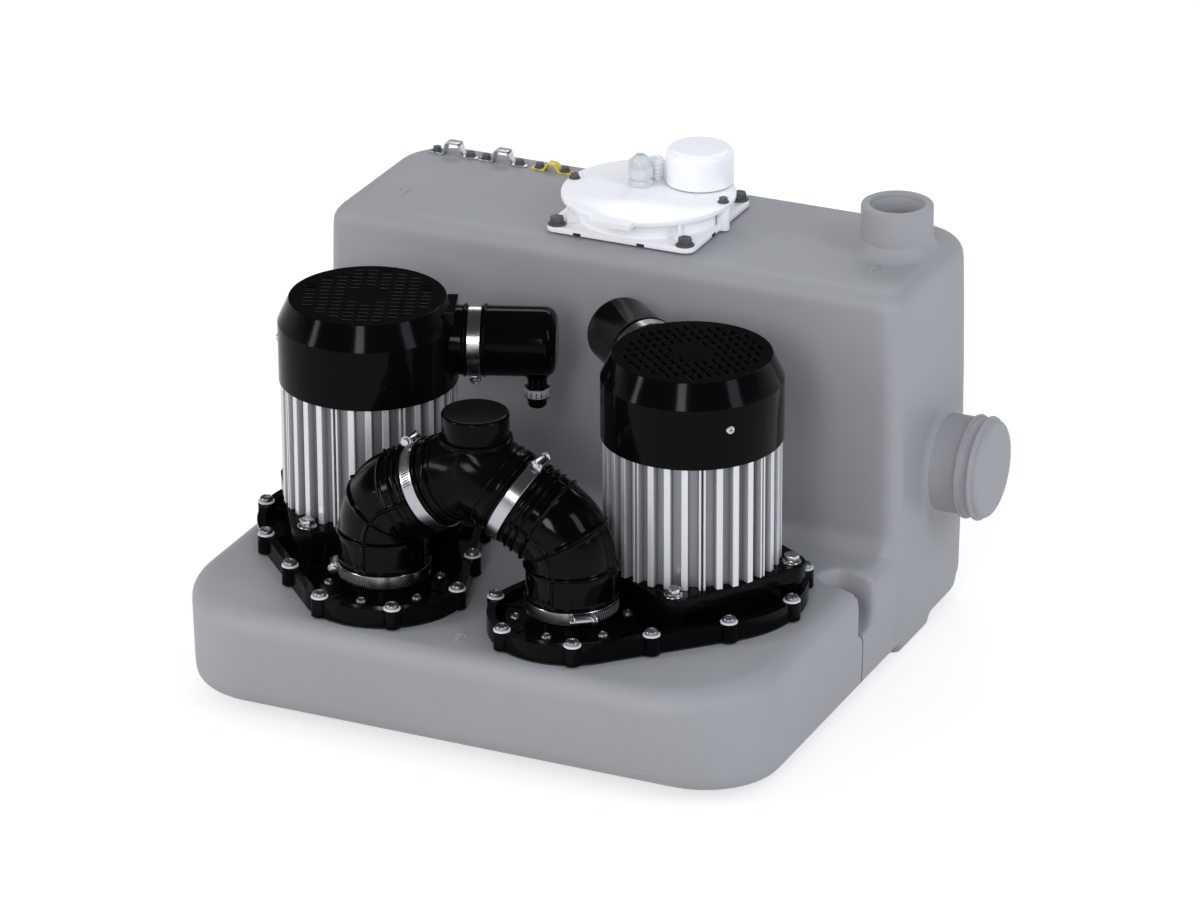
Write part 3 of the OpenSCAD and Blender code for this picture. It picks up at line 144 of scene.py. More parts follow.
class Val:
    """A number or colour that comes out of a node"""

    def __init__(self, look, socket):
        self.look, self.socket = look, socket

    def _made(self, kind, a, b):
        return self.look.node("ShaderNodeMath", {"operation": kind}, {0: a, 1: b})

    def __add__(self, o):
        return self._made("ADD", self, o)

    def __radd__(self, o):
        return self._made("ADD", o, self)

    def __sub__(self, o):
        return self._made("SUBTRACT", self, o)

    def __rsub__(self, o):
        return self._made("SUBTRACT", o, self)

    def __mul__(self, o):
        return self._made("MULTIPLY", self, o)

    def __rmul__(self, o):
        return self._made("MULTIPLY", o, self)

    def __pow__(self, o):
        return self._made("POWER", self, o)


class Look:
    """One material, and the one way its nodes are made"""

    def __init__(self, name):
        self.mat = bpy.data.materials.new(name)
        self.mat.use_nodes = True
        self.tree = self.mat.node_tree
        self.tree.nodes.clear()

    def node(self, kind, settings=None, inputs=None, out=0):
        n = self.tree.nodes.new(kind)
        for key, value in (settings or {}).items():
            setattr(n, key, value)
        for key, value in (inputs or {}).items():
            if isinstance(value, Val):
                self.tree.links.new(value.socket, n.inputs[key])
            else:
                n.inputs[key].default_value = value
        return Val(self, n.outputs[out]) if n.outputs else n

    def place(self, scale=(1, 1, 1)):
        spot = self.node("ShaderNodeTexCoord", out="Object")
        return self.node("ShaderNodeMapping", {}, {"Vector": spot, "Scale": scale})

    def noise(self, where, size, detail=3.0, rough=0.55):
        return self.node("ShaderNodeTexNoise", {}, {
            "Vector": where, "Scale": 1.0 / size, "Detail": detail, "Roughness": rough})

    def blend(self, share, a, b):
        n = self.tree.nodes.new("ShaderNodeMix")
        n.data_type = "RGBA"
        for key, value in ((0, share), (6, a), (7, b)):
            if isinstance(value, Val):
                self.tree.links.new(value.socket, n.inputs[key])
            else:
                n.inputs[key].default_value = value
        return Val(self, n.outputs[2])

    def bump(self, height, strength, distance):
        return self.node("ShaderNodeBump", {}, {
            "Height": height, "Strength": strength, "Distance": distance})

    def surface(self, **sockets):
        named = {k.replace("_", " ").title().replace("Ior", "IOR"): v for k, v in sockets.items()}
        skin = self.node("ShaderNodeBsdfPrincipled", {}, named)
        self.node("ShaderNodeOutputMaterial", {}, {"Surface": skin})
        return self.mat


def rgb(r, g, b):
    def line(c):
        c = c / 255
        return c / 12.92 if c <= 0.04045 else ((c + 0.055) / 1.055) ** 2.4
    return (line(r), line(g), line(b), 1.0)


def tank_plastic():
    look = Look("tank_plastic")
    here = look.place()
    grain = look.noise(here, 0.0007, 2.0)
    orange_peel = look.noise(here, 0.006, 2.0)
    cloud = look.noise(here, 0.14, 2.0)
    colour = look.blend(cloud, rgb(151, 152, 155), rgb(160, 161, 164))
    colour = look.blend(grain * 0.3, colour, rgb(140, 141, 145))
    height = grain * 0.7 + orange_peel * 0.5
    return look.surface(base_color=colour, roughness=0.42 + 0.16 * grain, specular_ior_level=0.4,
                        normal=look.bump(height, 0.22, 0.0005))


def black_plastic(name="black_plastic", rough=0.13, deep=rgb(7, 7, 8)):
    look = Look(name)
    here = look.place()
    wave = look.noise(here, 0.018, 2.0)
    dust = look.noise(here, 0.0011, 4.0)
    colour = look.blend(dust * 0.5, deep, rgb(10, 10, 11))
    return look.surface(base_color=colour, roughness=rough + 0.06 * (wave * dust),
                        specular_ior_level=0.055,
                        normal=look.bump(wave + 0.06 * dust, 0.03, 0.0010))


def boot_rubber():
    look = Look("boot_rubber")
    here = look.place()
    wave = look.noise(here, 0.012, 3.0)
    grain = look.noise(here, 0.0009, 3.0)
    colour = look.blend(wave, rgb(3, 3, 4), rgb(7, 7, 8))
    return look.surface(base_color=colour, roughness=0.07 + 0.06 * wave, specular_ior_level=0.085,
                        normal=look.bump(wave + 0.08 * grain, 0.06, 0.0010))


def soft_black(name="soft_black"):
    look = Look(name)
    here = look.place()
    grain = look.noise(here, 0.0012, 3.0)
    return look.surface(base_color=look.blend(grain, rgb(16, 16, 17), rgb(28, 28, 30)),
                        roughness=0.5 + 0.2 * grain,
                        normal=look.bump(grain, 0.2, 0.0003))


def white_plastic():
    look = Look("white_plastic")
    here = look.place()
    grain = look.noise(here, 0.0010, 3.0)
    cloud = look.noise(here, 0.05, 2.0)
    colour = look.blend(cloud, rgb(248, 249, 252), rgb(252, 252, 254))
    colour = look.blend(grain * 0.25, colour, rgb(240, 242, 247))
    return look.surface(base_color=colour, roughness=0.22 + 0.10 * grain,
                        normal=look.bump(cloud + 0.08 * grain, 0.10, 0.0006))


def drawn_metal(name, tone, dark, rough, stretch=(1, 1, 0.02), size=0.0016, strength=0.12):
    look = Look(name)
    streak = look.noise(look.place(stretch), size, 3.0)
    stain = look.noise(look.place(), 0.02, 3.0)
    colour = look.blend(streak * 0.6, tone, dark)
    colour = look.blend(stain * 0.3, colour, dark)
    return look.surface(base_color=colour, metallic=1.0,
                        roughness=rough + 0.16 * (streak * stain) ** 1.2,
                        normal=look.bump(streak, strength, 0.0003))


def coated(name, tone, worn, rough):
    look = Look(name)
    here = look.place()
    grain = look.noise(here, 0.0011, 3.0)
    patch = look.noise(here, 0.006, 3.0)
    return look.surface(base_color=look.blend(patch, tone, worn),
                        roughness=rough + 0.2 * grain,
                        normal=look.bump(grain, 0.15, 0.0003))


def cast_fins():
    """Bare aluminium, with painted shade darkening the fins' roots between the fins"""
    look = Look("fin_aluminium")
    here = look.place()
    draw = look.noise(look.place((1, 1, 0.03)), 0.004, 2.0)
    grain = look.noise(here, 0.0015, 3.0)
    flat = look.place((1, 1, 0))
    reach = [look.node("ShaderNodeVectorMath", {"operation": "DISTANCE"}, {
        0: flat, 1: ((PUMP_MID + side * PUMP_HALF) * mm, PUMP_Y * mm, 0)}, out="Value")
        for side in SIDES.values()]
    nearest = look.node("ShaderNodeMath", {"operation": "MINIMUM"}, {0: reach[0], 1: reach[1]})
    # Painted shade: a mask that is 0 at the fin roots and 1 at the fin tips, by the distance from
    # each motor's axis
    root_shade_fade = look.node("ShaderNodeMapRange", {}, {
        "Value": nearest, "From Min": 0.0735, "From Max": 0.0812})
    colour = look.blend(draw * 0.5, rgb(228, 229, 231), rgb(206, 208, 212))
    # painted shade: the roots between the fins are darkened to rgb 138, fading out towards the tips
    colour = look.blend(root_shade_fade, rgb(138, 140, 144), colour)
    colour = look.blend(grain * 0.2, colour, rgb(150, 152, 156))
    return look.surface(base_color=colour, metallic=0.55, roughness=0.36 + 0.1 * grain,
                        normal=look.bump(grain, 0.06, 0.0003))


finish = {
    "tank": tank_plastic(),
    "black": black_plastic(),
    "hood": black_plastic("hood_plastic", 0.10, rgb(6, 6, 7)),
    "boot": boot_rubber(),
    "soft": soft_black(),
    "dark": soft_black("dark_plastic"),
    "white": white_plastic(),
    "fins": cast_fins(),
    "band": drawn_metal("band_steel", rgb(188, 190, 193), rgb(160, 162, 166), 0.2, (1, 1, 1),
                        0.012, 0.015),
    "bolt": drawn_metal("bright_steel", rgb(208, 209, 212), rgb(170, 172, 176), 0.24, (1, 1, 1),
                        0.004, 0.03),
    "washer": coated("zinc_washer", rgb(222, 223, 225), rgb(196, 198, 202), 0.22),
    "head": drawn_metal("domed_heads", rgb(160, 161, 164), rgb(128, 129, 133), 0.34, (1, 1, 1),
                        0.004, 0.03),
    "clip": drawn_metal("clip_steel", rgb(226, 227, 229), rgb(176, 178, 182), 0.30, (1, 0.05, 1)),
    "shaft": drawn_metal("shaft_steel", rgb(190, 191, 194), rgb(140, 141, 145), 0.25),
    "iron": coated("core_iron", rgb(88, 90, 94), rgb(62, 62, 66), 0.5),
    "copper": coated("copper_winding", rgb(150, 84, 44), rgb(110, 58, 30), 0.35),
    "can": drawn_metal("can_aluminium", rgb(178, 186, 196), rgb(140, 148, 160), 0.3),
    "screw": coated("dark_fastener", rgb(98, 98, 102), rgb(62, 62, 66), 0.34),
    "clear": coated("clear_grey_plastic", rgb(214, 218, 222), rgb(198, 203, 208), 0.16),
    "yellow": coated("yellow_plastic", rgb(236, 208, 84), rgb(222, 190, 60), 0.3),
    "grey": coated("grey_plastic", rgb(176, 178, 182), rgb(160, 163, 168), 0.4),
}


class Shape:
    """Faces gathered in millimetres for one piece"""

    def __init__(self):
        self.verts, self.faces = [], []

    def add(self, verts, faces, place=None):
        first = len(self.verts)
        place = place or Matrix.Identity(4)
        self.verts += [tuple(place @ Vector(v)) for v in verts]
        self.faces += [[first + i for i in f] for f in faces]
        return self

    def rings(self, rings, place=None, loop=False, caps=True):
        """A skin over rings of equally many points"""
        n = len(rings[0])
        verts = [p for ring in rings for p in ring]
        faces = []
        spans = len(rings) if loop else len(rings) - 1
        for k in range(spans):
            a, b = k * n, (k + 1) % len(rings) * n
            faces += [(a + i, a + (i + 1) % n, b + (i + 1) % n, b + i) for i in range(n)]
        if caps and not loop:
            faces += [tuple(reversed(range(n))), tuple(range(len(verts) - n, len(verts)))]
        return self.add(verts, faces, place)

    def turned(self, profile, n=64, place=None, loop=False):
        """A profile of (radius, height) turned round Z; a loop is a closed profile"""
        rings = []
        for r, z in profile:
            rings.append([(r * math.cos(2 * math.pi * i / n), r * math.sin(2 * math.pi * i / n), z)
                          for i in range(n)])
        return self.rings(rings, place, loop)

    def prism(self, outline, low, high, place=None):
        return self.rings([[(x, y, low) for x, y in outline], [(x, y, high) for x, y in outline]],
                          place)

    def block(self, size, place=None):
        x, y, z = (s / 2 for s in size)
        return self.prism([(-x, -y), (x, -y), (x, y), (-x, y)], -z, z, place)

    def mesh(self, name, rounding=0.0, segments=2, smooth=32.0):
        data = bpy.data.meshes.new(name)
        data.from_pydata([Vector(v) * mm for v in self.verts], [], self.faces)
        thing = bpy.data.objects.new(name, data)
        bpy.context.scene.collection.objects.link(thing)
        work = bmesh.new()
        work.from_mesh(data)
        bmesh.ops.remove_doubles(work, verts=work.verts, dist=1e-7)
        bmesh.ops.recalc_face_normals(work, faces=work.faces)
        work.to_mesh(data)
        work.free()
        if rounding:
            round_edges(thing, rounding, segments)
        shade(thing, smooth)
        return thing


def shade(thing, angle):
    data = thing.data
    data.shade_smooth()
    data.set_sharp_from_angle(angle=math.radians(angle))


def settle(thing):
    """Applies what the object's modifiers make"""
    seen = bpy.context.evaluated_depsgraph_get()
    made = bpy.data.meshes.new_from_object(thing.evaluated_get(seen))
    old = thing.data
    thing.modifiers.clear()
    thing.data = made
    bpy.data.meshes.remove(old)


def round_edges(thing, width, segments=2, angle=38.0, clamp=True):
    soft = thing.modifiers.new("soft edges", "BEVEL")
    soft.width = width * mm
    soft.segments = segments
    soft.limit_method = "ANGLE"
    soft.angle_limit = math.radians(angle)
    soft.use_clamp_overlap = clamp
    soft.harden_normals = False
    settle(thing)


def fit_on(thing, body, material, stands_for=()):
    thing.data.materials.clear()
    thing.data.materials.append(finish[material])
    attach(thing, body)
    if stands_for:
        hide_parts(*stands_for)
    return thing


def weld(data, flat=None):
    """Join points that share a place, and then, if asked, faces that bend by less than flat"""
    work = bmesh.new()
    work.from_mesh(data)
    bmesh.ops.remove_doubles(work, verts=work.verts, dist=2e-6)
    if flat:
        bmesh.ops.dissolve_limit(work, angle_limit=math.radians(flat), verts=work.verts,
                                 edges=work.edges, use_dissolve_boundaries=False)
    work.to_mesh(data)
    work.free()


def softened(node, material, width=0.8, segments=2, smooth=34.0, bend=38.0, clamp=True):
    """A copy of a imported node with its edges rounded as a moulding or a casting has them"""
    source = frame["nodes"][node]
    data = source.data.copy()
    thing = bpy.data.objects.new(node + "_dressed", data)
    bpy.context.scene.collection.objects.link(thing)
    weld(data, 0.6)
    for name in [a.name for a in data.attributes if a.name == "custom_normal"]:
        data.attributes.remove(data.attributes[name])
    round_edges(thing, width, segments, bend, clamp)
    weld(thing.data)
    shade(thing, smooth)
    return fit_on(thing, source["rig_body"], material, (node,))


def set_on_points(name, small, places, material, stands_for=(), scale=1.0):
    """Copies of a small piece, one at each place, made by a node tree with named inputs"""
    data = bpy.data.meshes.new(name)
    data.from_pydata([tuple(p.to_translation() * mm) for p in places], [], [])
    turn = data.attributes.new("turn", "FLOAT_VECTOR", "POINT")
    for i, p in enumerate(places):
        turn.data[i].vector = tuple(p.to_euler())
    thing = bpy.data.objects.new(name, data)
    bpy.context.scene.collection.objects.link(thing)
    tree = bpy.data.node_groups.new(name + "_tree", "GeometryNodeTree")
    face = tree.interface
    face.new_socket("Points", in_out="INPUT", socket_type="NodeSocketGeometry")
    face.new_socket("Small piece", in_out="INPUT", socket_type="NodeSocketObject")
    size = face.new_socket("Size", in_out="INPUT", socket_type="NodeSocketFloat")
    face.new_socket("Finish", in_out="INPUT", socket_type="NodeSocketMaterial")
    face.new_socket("Geometry", in_out="OUTPUT", socket_type="NodeSocketGeometry")
    size.default_value = 1.0
    into = tree.nodes.new("NodeGroupInput")
    out = tree.nodes.new("NodeGroupOutput")
    info = tree.nodes.new("GeometryNodeObjectInfo")
    named = tree.nodes.new("GeometryNodeInputNamedAttribute")
    named.data_type = "FLOAT_VECTOR"
    named.inputs["Name"].default_value = "turn"
    euler = tree.nodes.new("FunctionNodeEulerToRotation")
    copies = tree.nodes.new("GeometryNodeInstanceOnPoints")
    real = tree.nodes.new("GeometryNodeRealizeInstances")
    paint = tree.nodes.new("GeometryNodeSetMaterial")
    link = tree.links.new
    link(into.outputs["Points"], copies.inputs["Points"])
    link(into.outputs["Small piece"], info.inputs["Object"])
    link(info.outputs["Geometry"], copies.inputs["Instance"])
    link(named.outputs["Attribute"], euler.inputs[0])
    link(euler.outputs[0], copies.inputs["Rotation"])
    link(into.outputs["Size"], copies.inputs["Scale"])
    link(copies.outputs["Instances"], real.inputs["Geometry"])
    link(real.outputs["Geometry"], paint.inputs["Geometry"])
    link(into.outputs["Finish"], paint.inputs["Material"])
    link(paint.outputs["Geometry"], out.inputs["Geometry"])
    work = thing.modifiers.new("copies", "NODES")
    work.node_group = tree
    keys = {s.name: s.identifier for s in face.items_tree if s.item_type == "SOCKET"}
    work[keys["Small piece"]] = small
    work[keys["Size"]] = scale
    work[keys["Finish"]] = finish[material]
    settle(thing)
    shade(thing, 34)
    return fit_on(thing, "station", material, stands_for)


def scrap(thing):
    bpy.data.objects.remove(thing)


def polar(r, angle, cx=0.0, cy=0.0):
    turn = math.radians(angle)
    return cx + r * math.cos(turn), cy + r * math.sin(turn)


def arc(cx, cy, r, a0, a1, n):
    """Points round a centre from one angle to another, both ends in"""
    return [polar(r, a0 + (a1 - a0) * i / n, cx, cy) for i in range(n + 1)]


def hexagon(r, turn=0):
    return [polar(r, 60 * i + turn) for i in range(6)]


def bead(r, thick, up=0.0):
    """The closed round section of a bead on a wall"""
    return [polar(thick, a, r, up) for a in range(0, 360, 36)]


def set_camera():
    """The photograph's camera, as it was solved from points of the photograph"""
    lens, distance = 189.416, 5.94188
    aim = Vector((-5.598, 73.046, 169.982)) * mm
    az, el, roll = (math.radians(a) for a in (24.7238, 23.6926, -0.2307))
    data = bpy.data.cameras.new("camera")
    data.sensor_width = 36.0
    data.lens = lens
    data.clip_start, data.clip_end = 0.1, 60.0
    back = Vector((math.sin(az) * math.cos(el), -math.cos(az) * math.cos(el), math.sin(el)))
    right = Vector((math.cos(az), math.sin(az), 0.0))
    up = back.cross(right)
    right, up = (math.cos(roll) * right + math.sin(roll) * up,
                 math.cos(roll) * up - math.sin(roll) * right)
    spot = aim + back * distance
    thing = bpy.data.objects.new("camera", data)
    thing.matrix_world = Matrix((
        (right.x, up.x, back.x, spot.x), (right.y, up.y, back.y, spot.y),
        (right.z, up.z, back.z, spot.z), (0, 0, 0, 1)))
    bpy.context.scene.collection.objects.link(thing)
    bpy.context.scene.camera = thing


def light_panel(name, place, aim, size, power, colour=(1, 1, 1)):
    data = bpy.data.lights.new(name, "AREA")
    data.shape = "RECTANGLE"
    data.size, data.size_y = size
    data.energy = power
    data.color = colour
    thing = bpy.data.objects.new(name, data)
    thing.location = place
    thing.rotation_euler = (Vector(aim) - Vector(place)).to_track_quat("-Z", "Y").to_euler()
    bpy.context.scene.collection.objects.link(thing)
    return thing


def ray_kinds(look):
    """Whether a ray comes from the camera, off a gloss or through something"""
    path = look.tree.nodes.new("ShaderNodeLightPath")
    return [Val(look, path.outputs[n]) for n in
            ("Is Camera Ray", "Is Glossy Ray", "Is Transmission Ray")]


def set_floor():
    data = bpy.data.meshes.new("floor")
    data.from_pydata([(-30, -30, 0), (30, -30, 0), (30, 30, 0), (-30, 30, 0)], [], [(0, 1, 2, 3)])
    thing = bpy.data.objects.new("floor", data)
    thing.location = (0, 0, -0.0006)
    bpy.context.scene.collection.objects.link(thing)
    look = Look("pale_floor")
    lit = look.node("ShaderNodeBsdfDiffuse", {}, {"Color": (0.80, 0.80, 0.80, 1)})
    dim = look.node("ShaderNodeBsdfDiffuse", {}, {"Color": (0.42, 0.42, 0.42, 1)})
    glow = look.node("ShaderNodeEmission", {}, {"Color": (1, 1, 1, 1), "Strength": 0.66})
    shown = look.node("ShaderNodeAddShader", {}, {0: dim, 1: glow})
    camera, glossy, through = ray_kinds(look)
    both = look.node("ShaderNodeMixShader", {}, {0: camera + glossy + through, 1: lit, 2: shown})
    look.node("ShaderNodeOutputMaterial", {}, {"Surface": both})
    data.materials.append(look.mat)


def set_world():
    """White behind the object; reflections see that white too, dimming above the horizon"""
    world = bpy.data.worlds.new("studio")
    bpy.context.scene.world = world
    world.use_nodes = True
    look = Look.__new__(Look)
    look.tree = world.node_tree
    look.tree.nodes.clear()
    camera, glossy, through = ray_kinds(look)
    way = look.node("ShaderNodeTexCoord", out="Generated")
    height = look.node("ShaderNodeSeparateXYZ", {}, {0: way}, out="Z")
    falling = look.node("ShaderNodeMapRange", {"interpolation_type": "SMOOTHSTEP"}, {
        "Value": height, "From Min": 0.05, "From Max": 0.27, "To Min": 1.0, "To Max": 0.05})
    seen = camera + through
    level = seen + glossy * falling + (1.0 - seen - glossy) * 0.67
    colour = look.blend(seen + glossy, (0.93, 0.96, 1.0, 1), (1, 1, 1, 1))
    sky = look.node("ShaderNodeBackground", {}, {"Color": colour, "Strength": level})
    look.node("ShaderNodeOutputWorld", {}, {"Surface": sky})


def set_lights():
    light_panel("right_panel", (2.6, -0.5, 1.7), (0.1, 0.0, 0.2), (0.7, 1.8), 23, (0.84, 0.9, 1))
    light_panel("left_panel", (-2.2, -1.9, 1.5), (0.0, 0.0, 0.2), (0.35, 1.6), 22)
    light_panel("front_panel", (0.7, -3.2, 1.6), (0.0, 0.0, 0.2), (0.6, 0.9), 27, (1, 0.99, 0.98))
    light_panel("back_panel", (-0.6, 2.6, 2.4), (0.0, 0.1, 0.3), (2.4, 0.7), 18)


def soft_plan(front, back, half, front_r, back_r, n=14):
    """A rounded plan, anticlockwise from the front left"""
    return (arc(-half + front_r, front + front_r, front_r, 180, 270, n)
            + arc(half - front_r, front + front_r, front_r, 270, 360, n)
            + arc(half - back_r, back - back_r, back_r, 0, 90, n)
            + arc(-half + back_r, back - back_r, back_r, 90, 180, n))


def lofted(levels):
    """Rings of (height, front, back, half width, front radius, back radius)"""
    shape = Shape()
    shape.rings([[(x, y, z) for x, y in soft_plan(f, b, h, fr, br)]
                 for z, f, b, h, fr, br in levels])
    return shape


def eased(level, low, high, low_r, high_r):
    """How far a wall is drawn in by the rounded edges at its foot and its top"""
    inset = 0.0
    if level < low + low_r:
        inset = low_r - math.sqrt(max(0.0, low_r ** 2 - (low + low_r - level) ** 2))
    if level > high - high_r:
        inset = max(inset, high_r - math.sqrt(max(0.0, high_r ** 2 - (level - high + high_r) ** 2)))
    return inset


def cut_by(thing, shape, name="cutter"):
    tool = shape.mesh(name)
    cut = thing.modifiers.new("cut", "BOOLEAN")
    cut.operation = "DIFFERENCE"
    cut.solver = "EXACT"
    cut.object = tool
    settle(thing)
    scrap(tool)


def make_tank():
    """The tray, the tower and what is moulded on them, melted into one soft skin"""
    low, tray_high, tower_high = TANK_LOW, TRAY_TOP, TANK_TOP
    foot_r, side_foot_r, tray_r, tower_r, joint_r = 22, 11, 17, 16, 18
    # The tray's plan at the floor, and how much it grows by the height where it is full
    front, half, corner = -264.0, 290.6, 74.0
    front_lean, half_lean, corner_lean, full_at = 23.0, 1.9, 30.0, 88.0
    tray_back, back_corner = 280, 49
    tower_back, tower_half, widest = 282.0, 294.2, 185.0
    drawn_above, drawn_below = 0.000085, 0.00006
    levels = []
    for z in sorted(set([low + foot_r * (1 - math.cos(math.radians(a))) for a in range(0, 91, 10)]
                        + [45, 62, 80, 92]
                        + [tray_high - tray_r * (1 - math.cos(math.radians(a)))
                           for a in range(0, 91, 10)])):
        up = min(1.0, max(0.0, (z - low) / full_at))
        side_in = eased(z, low, tray_high, side_foot_r, tray_r)
        front_in = eased(z, low, tray_high, foot_r, tray_r)
        levels.append((z, front - front_lean * up + front_in, tray_back - side_in,
                       half + half_lean * up - side_in,
                       corner + corner_lean * up - max(side_in, front_in) * 0.35,
                       back_corner - side_in * 0.5))
    tray = lofted(levels).mesh("tray")
    levels = []
    for z in sorted(set([30.0, 80.0, 130.0, widest, 240.0, 300.0, 340.0]
                        + [tower_high - tower_r * (1 - math.cos(math.radians(a)))
                           for a in range(0, 91, 9)])):
        drawn = (drawn_above if z > widest else drawn_below) * (z - widest) ** 2
        top_in = eased(z, low, tower_high, 0, tower_r)
        levels.append((z, TOWER_FRONT + drawn * 0.5 + top_in, tower_back - drawn * 0.4 - top_in,
                       tower_half - drawn - top_in, tower_r - top_in * 0.4,
                       back_corner - top_in * 0.5))
    tower = lofted(levels).mesh("tower")
    fillet = Shape()
    start, fillet_half = TOWER_FRONT - joint_r, 287.0
    curve = ([(start - 2, tray_high - 8), (start - 2, tray_high - 0.6)]
             + arc(start, tray_high + joint_r, joint_r, -90, 0, 10)
             + [(TOWER_FRONT + 8, tray_high + joint_r)])
    fillet.rings([[(x, y, z) for y, z in curve] for x in (-fillet_half, fillet_half)])
    fillet = fillet.mesh("joint")
    feet = Shape()
    foot_long, foot_half, foot_corner, foot_high = 78, 23, 7, 40
    foot_plan = soft_plan(0, foot_long, foot_half, foot_corner, foot_corner, 4)
    for x, y in FEET:
        feet.prism([(px + x, py + y) for px, py in foot_plan], 0, foot_high)
    feet = feet.mesh("feet")
    pads = Shape()
    pads.turned([(AXIS, 350), (41, 350), (41, 369), (38.2, 371.4), (35.2, 377), (33.9, 384),
                 (AXIS, 384)], 72, at_top_stub())
    pads.turned([(AXIS, -12), (49.5, -12), (49.5, 0.3), (47.8, 1.4), (46.6, 5), (46.2, 9), (AXIS, 9)],
                72, at_side_stub())
    pads = pads.mesh("stub_feet")
    past_side, past_top = 330, 140
    for s in (-1, 1):
        notch = Shape()
        notch.prism([(s * x, y) for x, y in
                     arc(NOTCH_X, NOTCH_Y, NOTCH_R, 90, 270, 16)
                     + [(past_side, NOTCH_Y - NOTCH_R), (past_side, NOTCH_Y + NOTCH_R)]],
                    NOTCH_FLOOR, past_top)
        cut_by(tray, notch)
    parts = [tray, tower, fillet, feet, pads]
    whole = bmesh.new()
    for part in parts:
        whole.from_mesh(part.data)
        scrap(part)
    data = bpy.data.meshes.new("tank_shell")
    whole.to_mesh(data)
    whole.free()
    tank = bpy.data.objects.new("tank_shell", data)
    bpy.context.scene.collection.objects.link(tank)
    skin = tank.modifiers.new("moulded skin", "REMESH")
    skin.mode = "VOXEL"
    skin.voxel_size = 0.0042
    ease = tank.modifiers.new("soft corners", "SMOOTH")
    ease.factor = 0.5
    ease.iterations = 5
    settle(tank)
    bore = Shape()
    bore.turned([(AXIS, 250), (TOP_STUB_BORE, 250), (TOP_STUB_BORE, 500), (AXIS, 500)], 72,
                at_top_stub())
    cut_by(tank, bore)
    slit_long, slit_high, slit_x, slit_z = 60, 90, TANK_SIDE + 10, 26
    for s in (-1, 1):
        slit = Shape()
        slit.block((slit_long, SLIT_WIDE, slit_high), shift(s * slit_x, SLIT_Y, slit_z))
        cut_by(tank, slit)
    tank.data.shade_smooth()
    tank.data.set_sharp_from_angle(angle=math.radians(50))
    fit_on(tank, "station", "tank", ("tank",))


def make_stubs():
    stub = Shape()
    stub.turned([(TOP_STUB_BORE, 300), (TOP_STUB_BORE, 408.2), (24.2, 409), (25.5, 409.6),
                 (25.6, 413.0), (26.4, 414), (31.6, 414), (33.2, 413.2), (33.9, 411.4), (33.9, 380),
                 (34.4, 376), (35.8, 373), (30, 366), (27, 300)], 96, at_top_stub(), loop=True)
    fit_on(stub.mesh("top_inlet_stub", smooth=40), "station", "tank", ())
    stub = Shape()
    profile = [(AXIS, -8), (46.3, -8), (46.5, 10), (46.5, 30.6), (47.0, 31.4), (49.2, 31.9),
               (49.7, 33.3), (49.2, 34.7), (47.4, 35.2), (47.0, 36.6), (47.0, 41.8), (47.4, 43.2),
               (49.2, 43.7), (49.8, 45.2), (49.2, 46.7), (47.4, 47.4), (46.7, 48.6)]
    profile += arc(41.7, 49, 5, 0, 90, 9)
    profile += [(30, 54.2), (10, 54.3), (AXIS, 54.3)]
    stub.turned(profile, 112, at_side_stub())
    fit_on(stub.mesh("side_inlet_stub", smooth=40), "station", "tank", ())


def make_marks():
    """Plain raised arrows where the moulding has marks"""
    marks = Shape()
    arrow = [(-2.1, 0), (2.1, 0), (2.1, 12.1), (6, 12.1), (0, 22), (-6, 12.1), (-2.1, 12.1)]
    sunk, proud = 0.6, 0.75
    for place in (shift(-TOP_STUB_X, TOP_MARK_Y, TANK_TOP), shift(TOP_STUB_X, TOP_MARK_Y, TANK_TOP),
                  shift(0, TRAY_MARK_Y, TRAY_TOP)):
        marks.prism(arrow, -sunk, proud, place)
    fit_on(marks.mesh("flow_marks", 0.3), "station", "tank", ("top_marks",))


def boot_frame(s):
    """The middle, outward and tangent directions a way along an elbow, in its outlet's frame"""
    if s < CUFF:
        return Vector((0, 0, BOOT_FOOT + s)), Vector((1, 0, 0)), Vector((0, 0, 1))
    bend = BEND_R * ARM_TURN
    a = min(1.0, (s - CUFF) / bend) * ARM_TURN
    out = Vector((math.cos(a), 0, math.sin(a)))
    ahead = Vector((-math.sin(a), 0, math.cos(a)))
    mid = Vector((-BEND_R, 0, BEND_START)) + out * BEND_R
    if s > CUFF + bend:
        mid = mid + ahead * (s - CUFF - bend)
    return mid, out, ahead


def hump(x, width):
    """A smooth swelling, 1 in the middle and 0 beyond its half width"""
    x = abs(x) / width
    return 0.0 if x >= 1 else (1 - x * x) ** 1.5


# Rings round an elbow: how far along, how high and how wide
HOOPS = ((17.2, 1.0, 1.0), (CUFF, 2.7, 2.0), (CUFF + 23.1, 2.3, 1.8), (BEND_END + 1.0, 2.7, 2.0),
         (BEND_END + 11.5, 1.9, 1.5), (BEND_END + 18.5, 1.9, 1.5), (BEND_END + 24.6, 1.1, 1.1))
RIDGES = (0, 90, 180, 270)
RIDGE_HIGH, RIDGE_WIDE = 2.2, 1.9
RIDGE_FROM, RIDGE_TO = 17, BEND_END + 26
CUFF_EDGE, CUFF_PROUD, END_DROP = 2.5, 0.5, 1.4


def boot_radius(s, turn):
    """The outside of an elbow, with its rings, its lengthwise ridges and its rounded ends"""
    r = BOOT_OUTSIDE
    if CUFF_EDGE < s < CUFF - CUFF_EDGE:
        r = BOOT_OUTSIDE + CUFF_PROUD
    r += max([high * hump(s - at, wide) for at, high, wide in HOOPS] + [0])
    if RIDGE_FROM < s < RIDGE_TO:
        near = min(abs((turn - a + 180) % 360 - 180) for a in RIDGES)
        r += RIDGE_HIGH * hump(near * r * math.pi / 180, RIDGE_WIDE)
    edge = min(s, BOOT_LONG - s)
    if edge < BOOT_EDGE:
        r -= END_DROP * (1 - math.sqrt(max(0.0, 1 - (1 - edge / BOOT_EDGE) ** 2)))
    return r


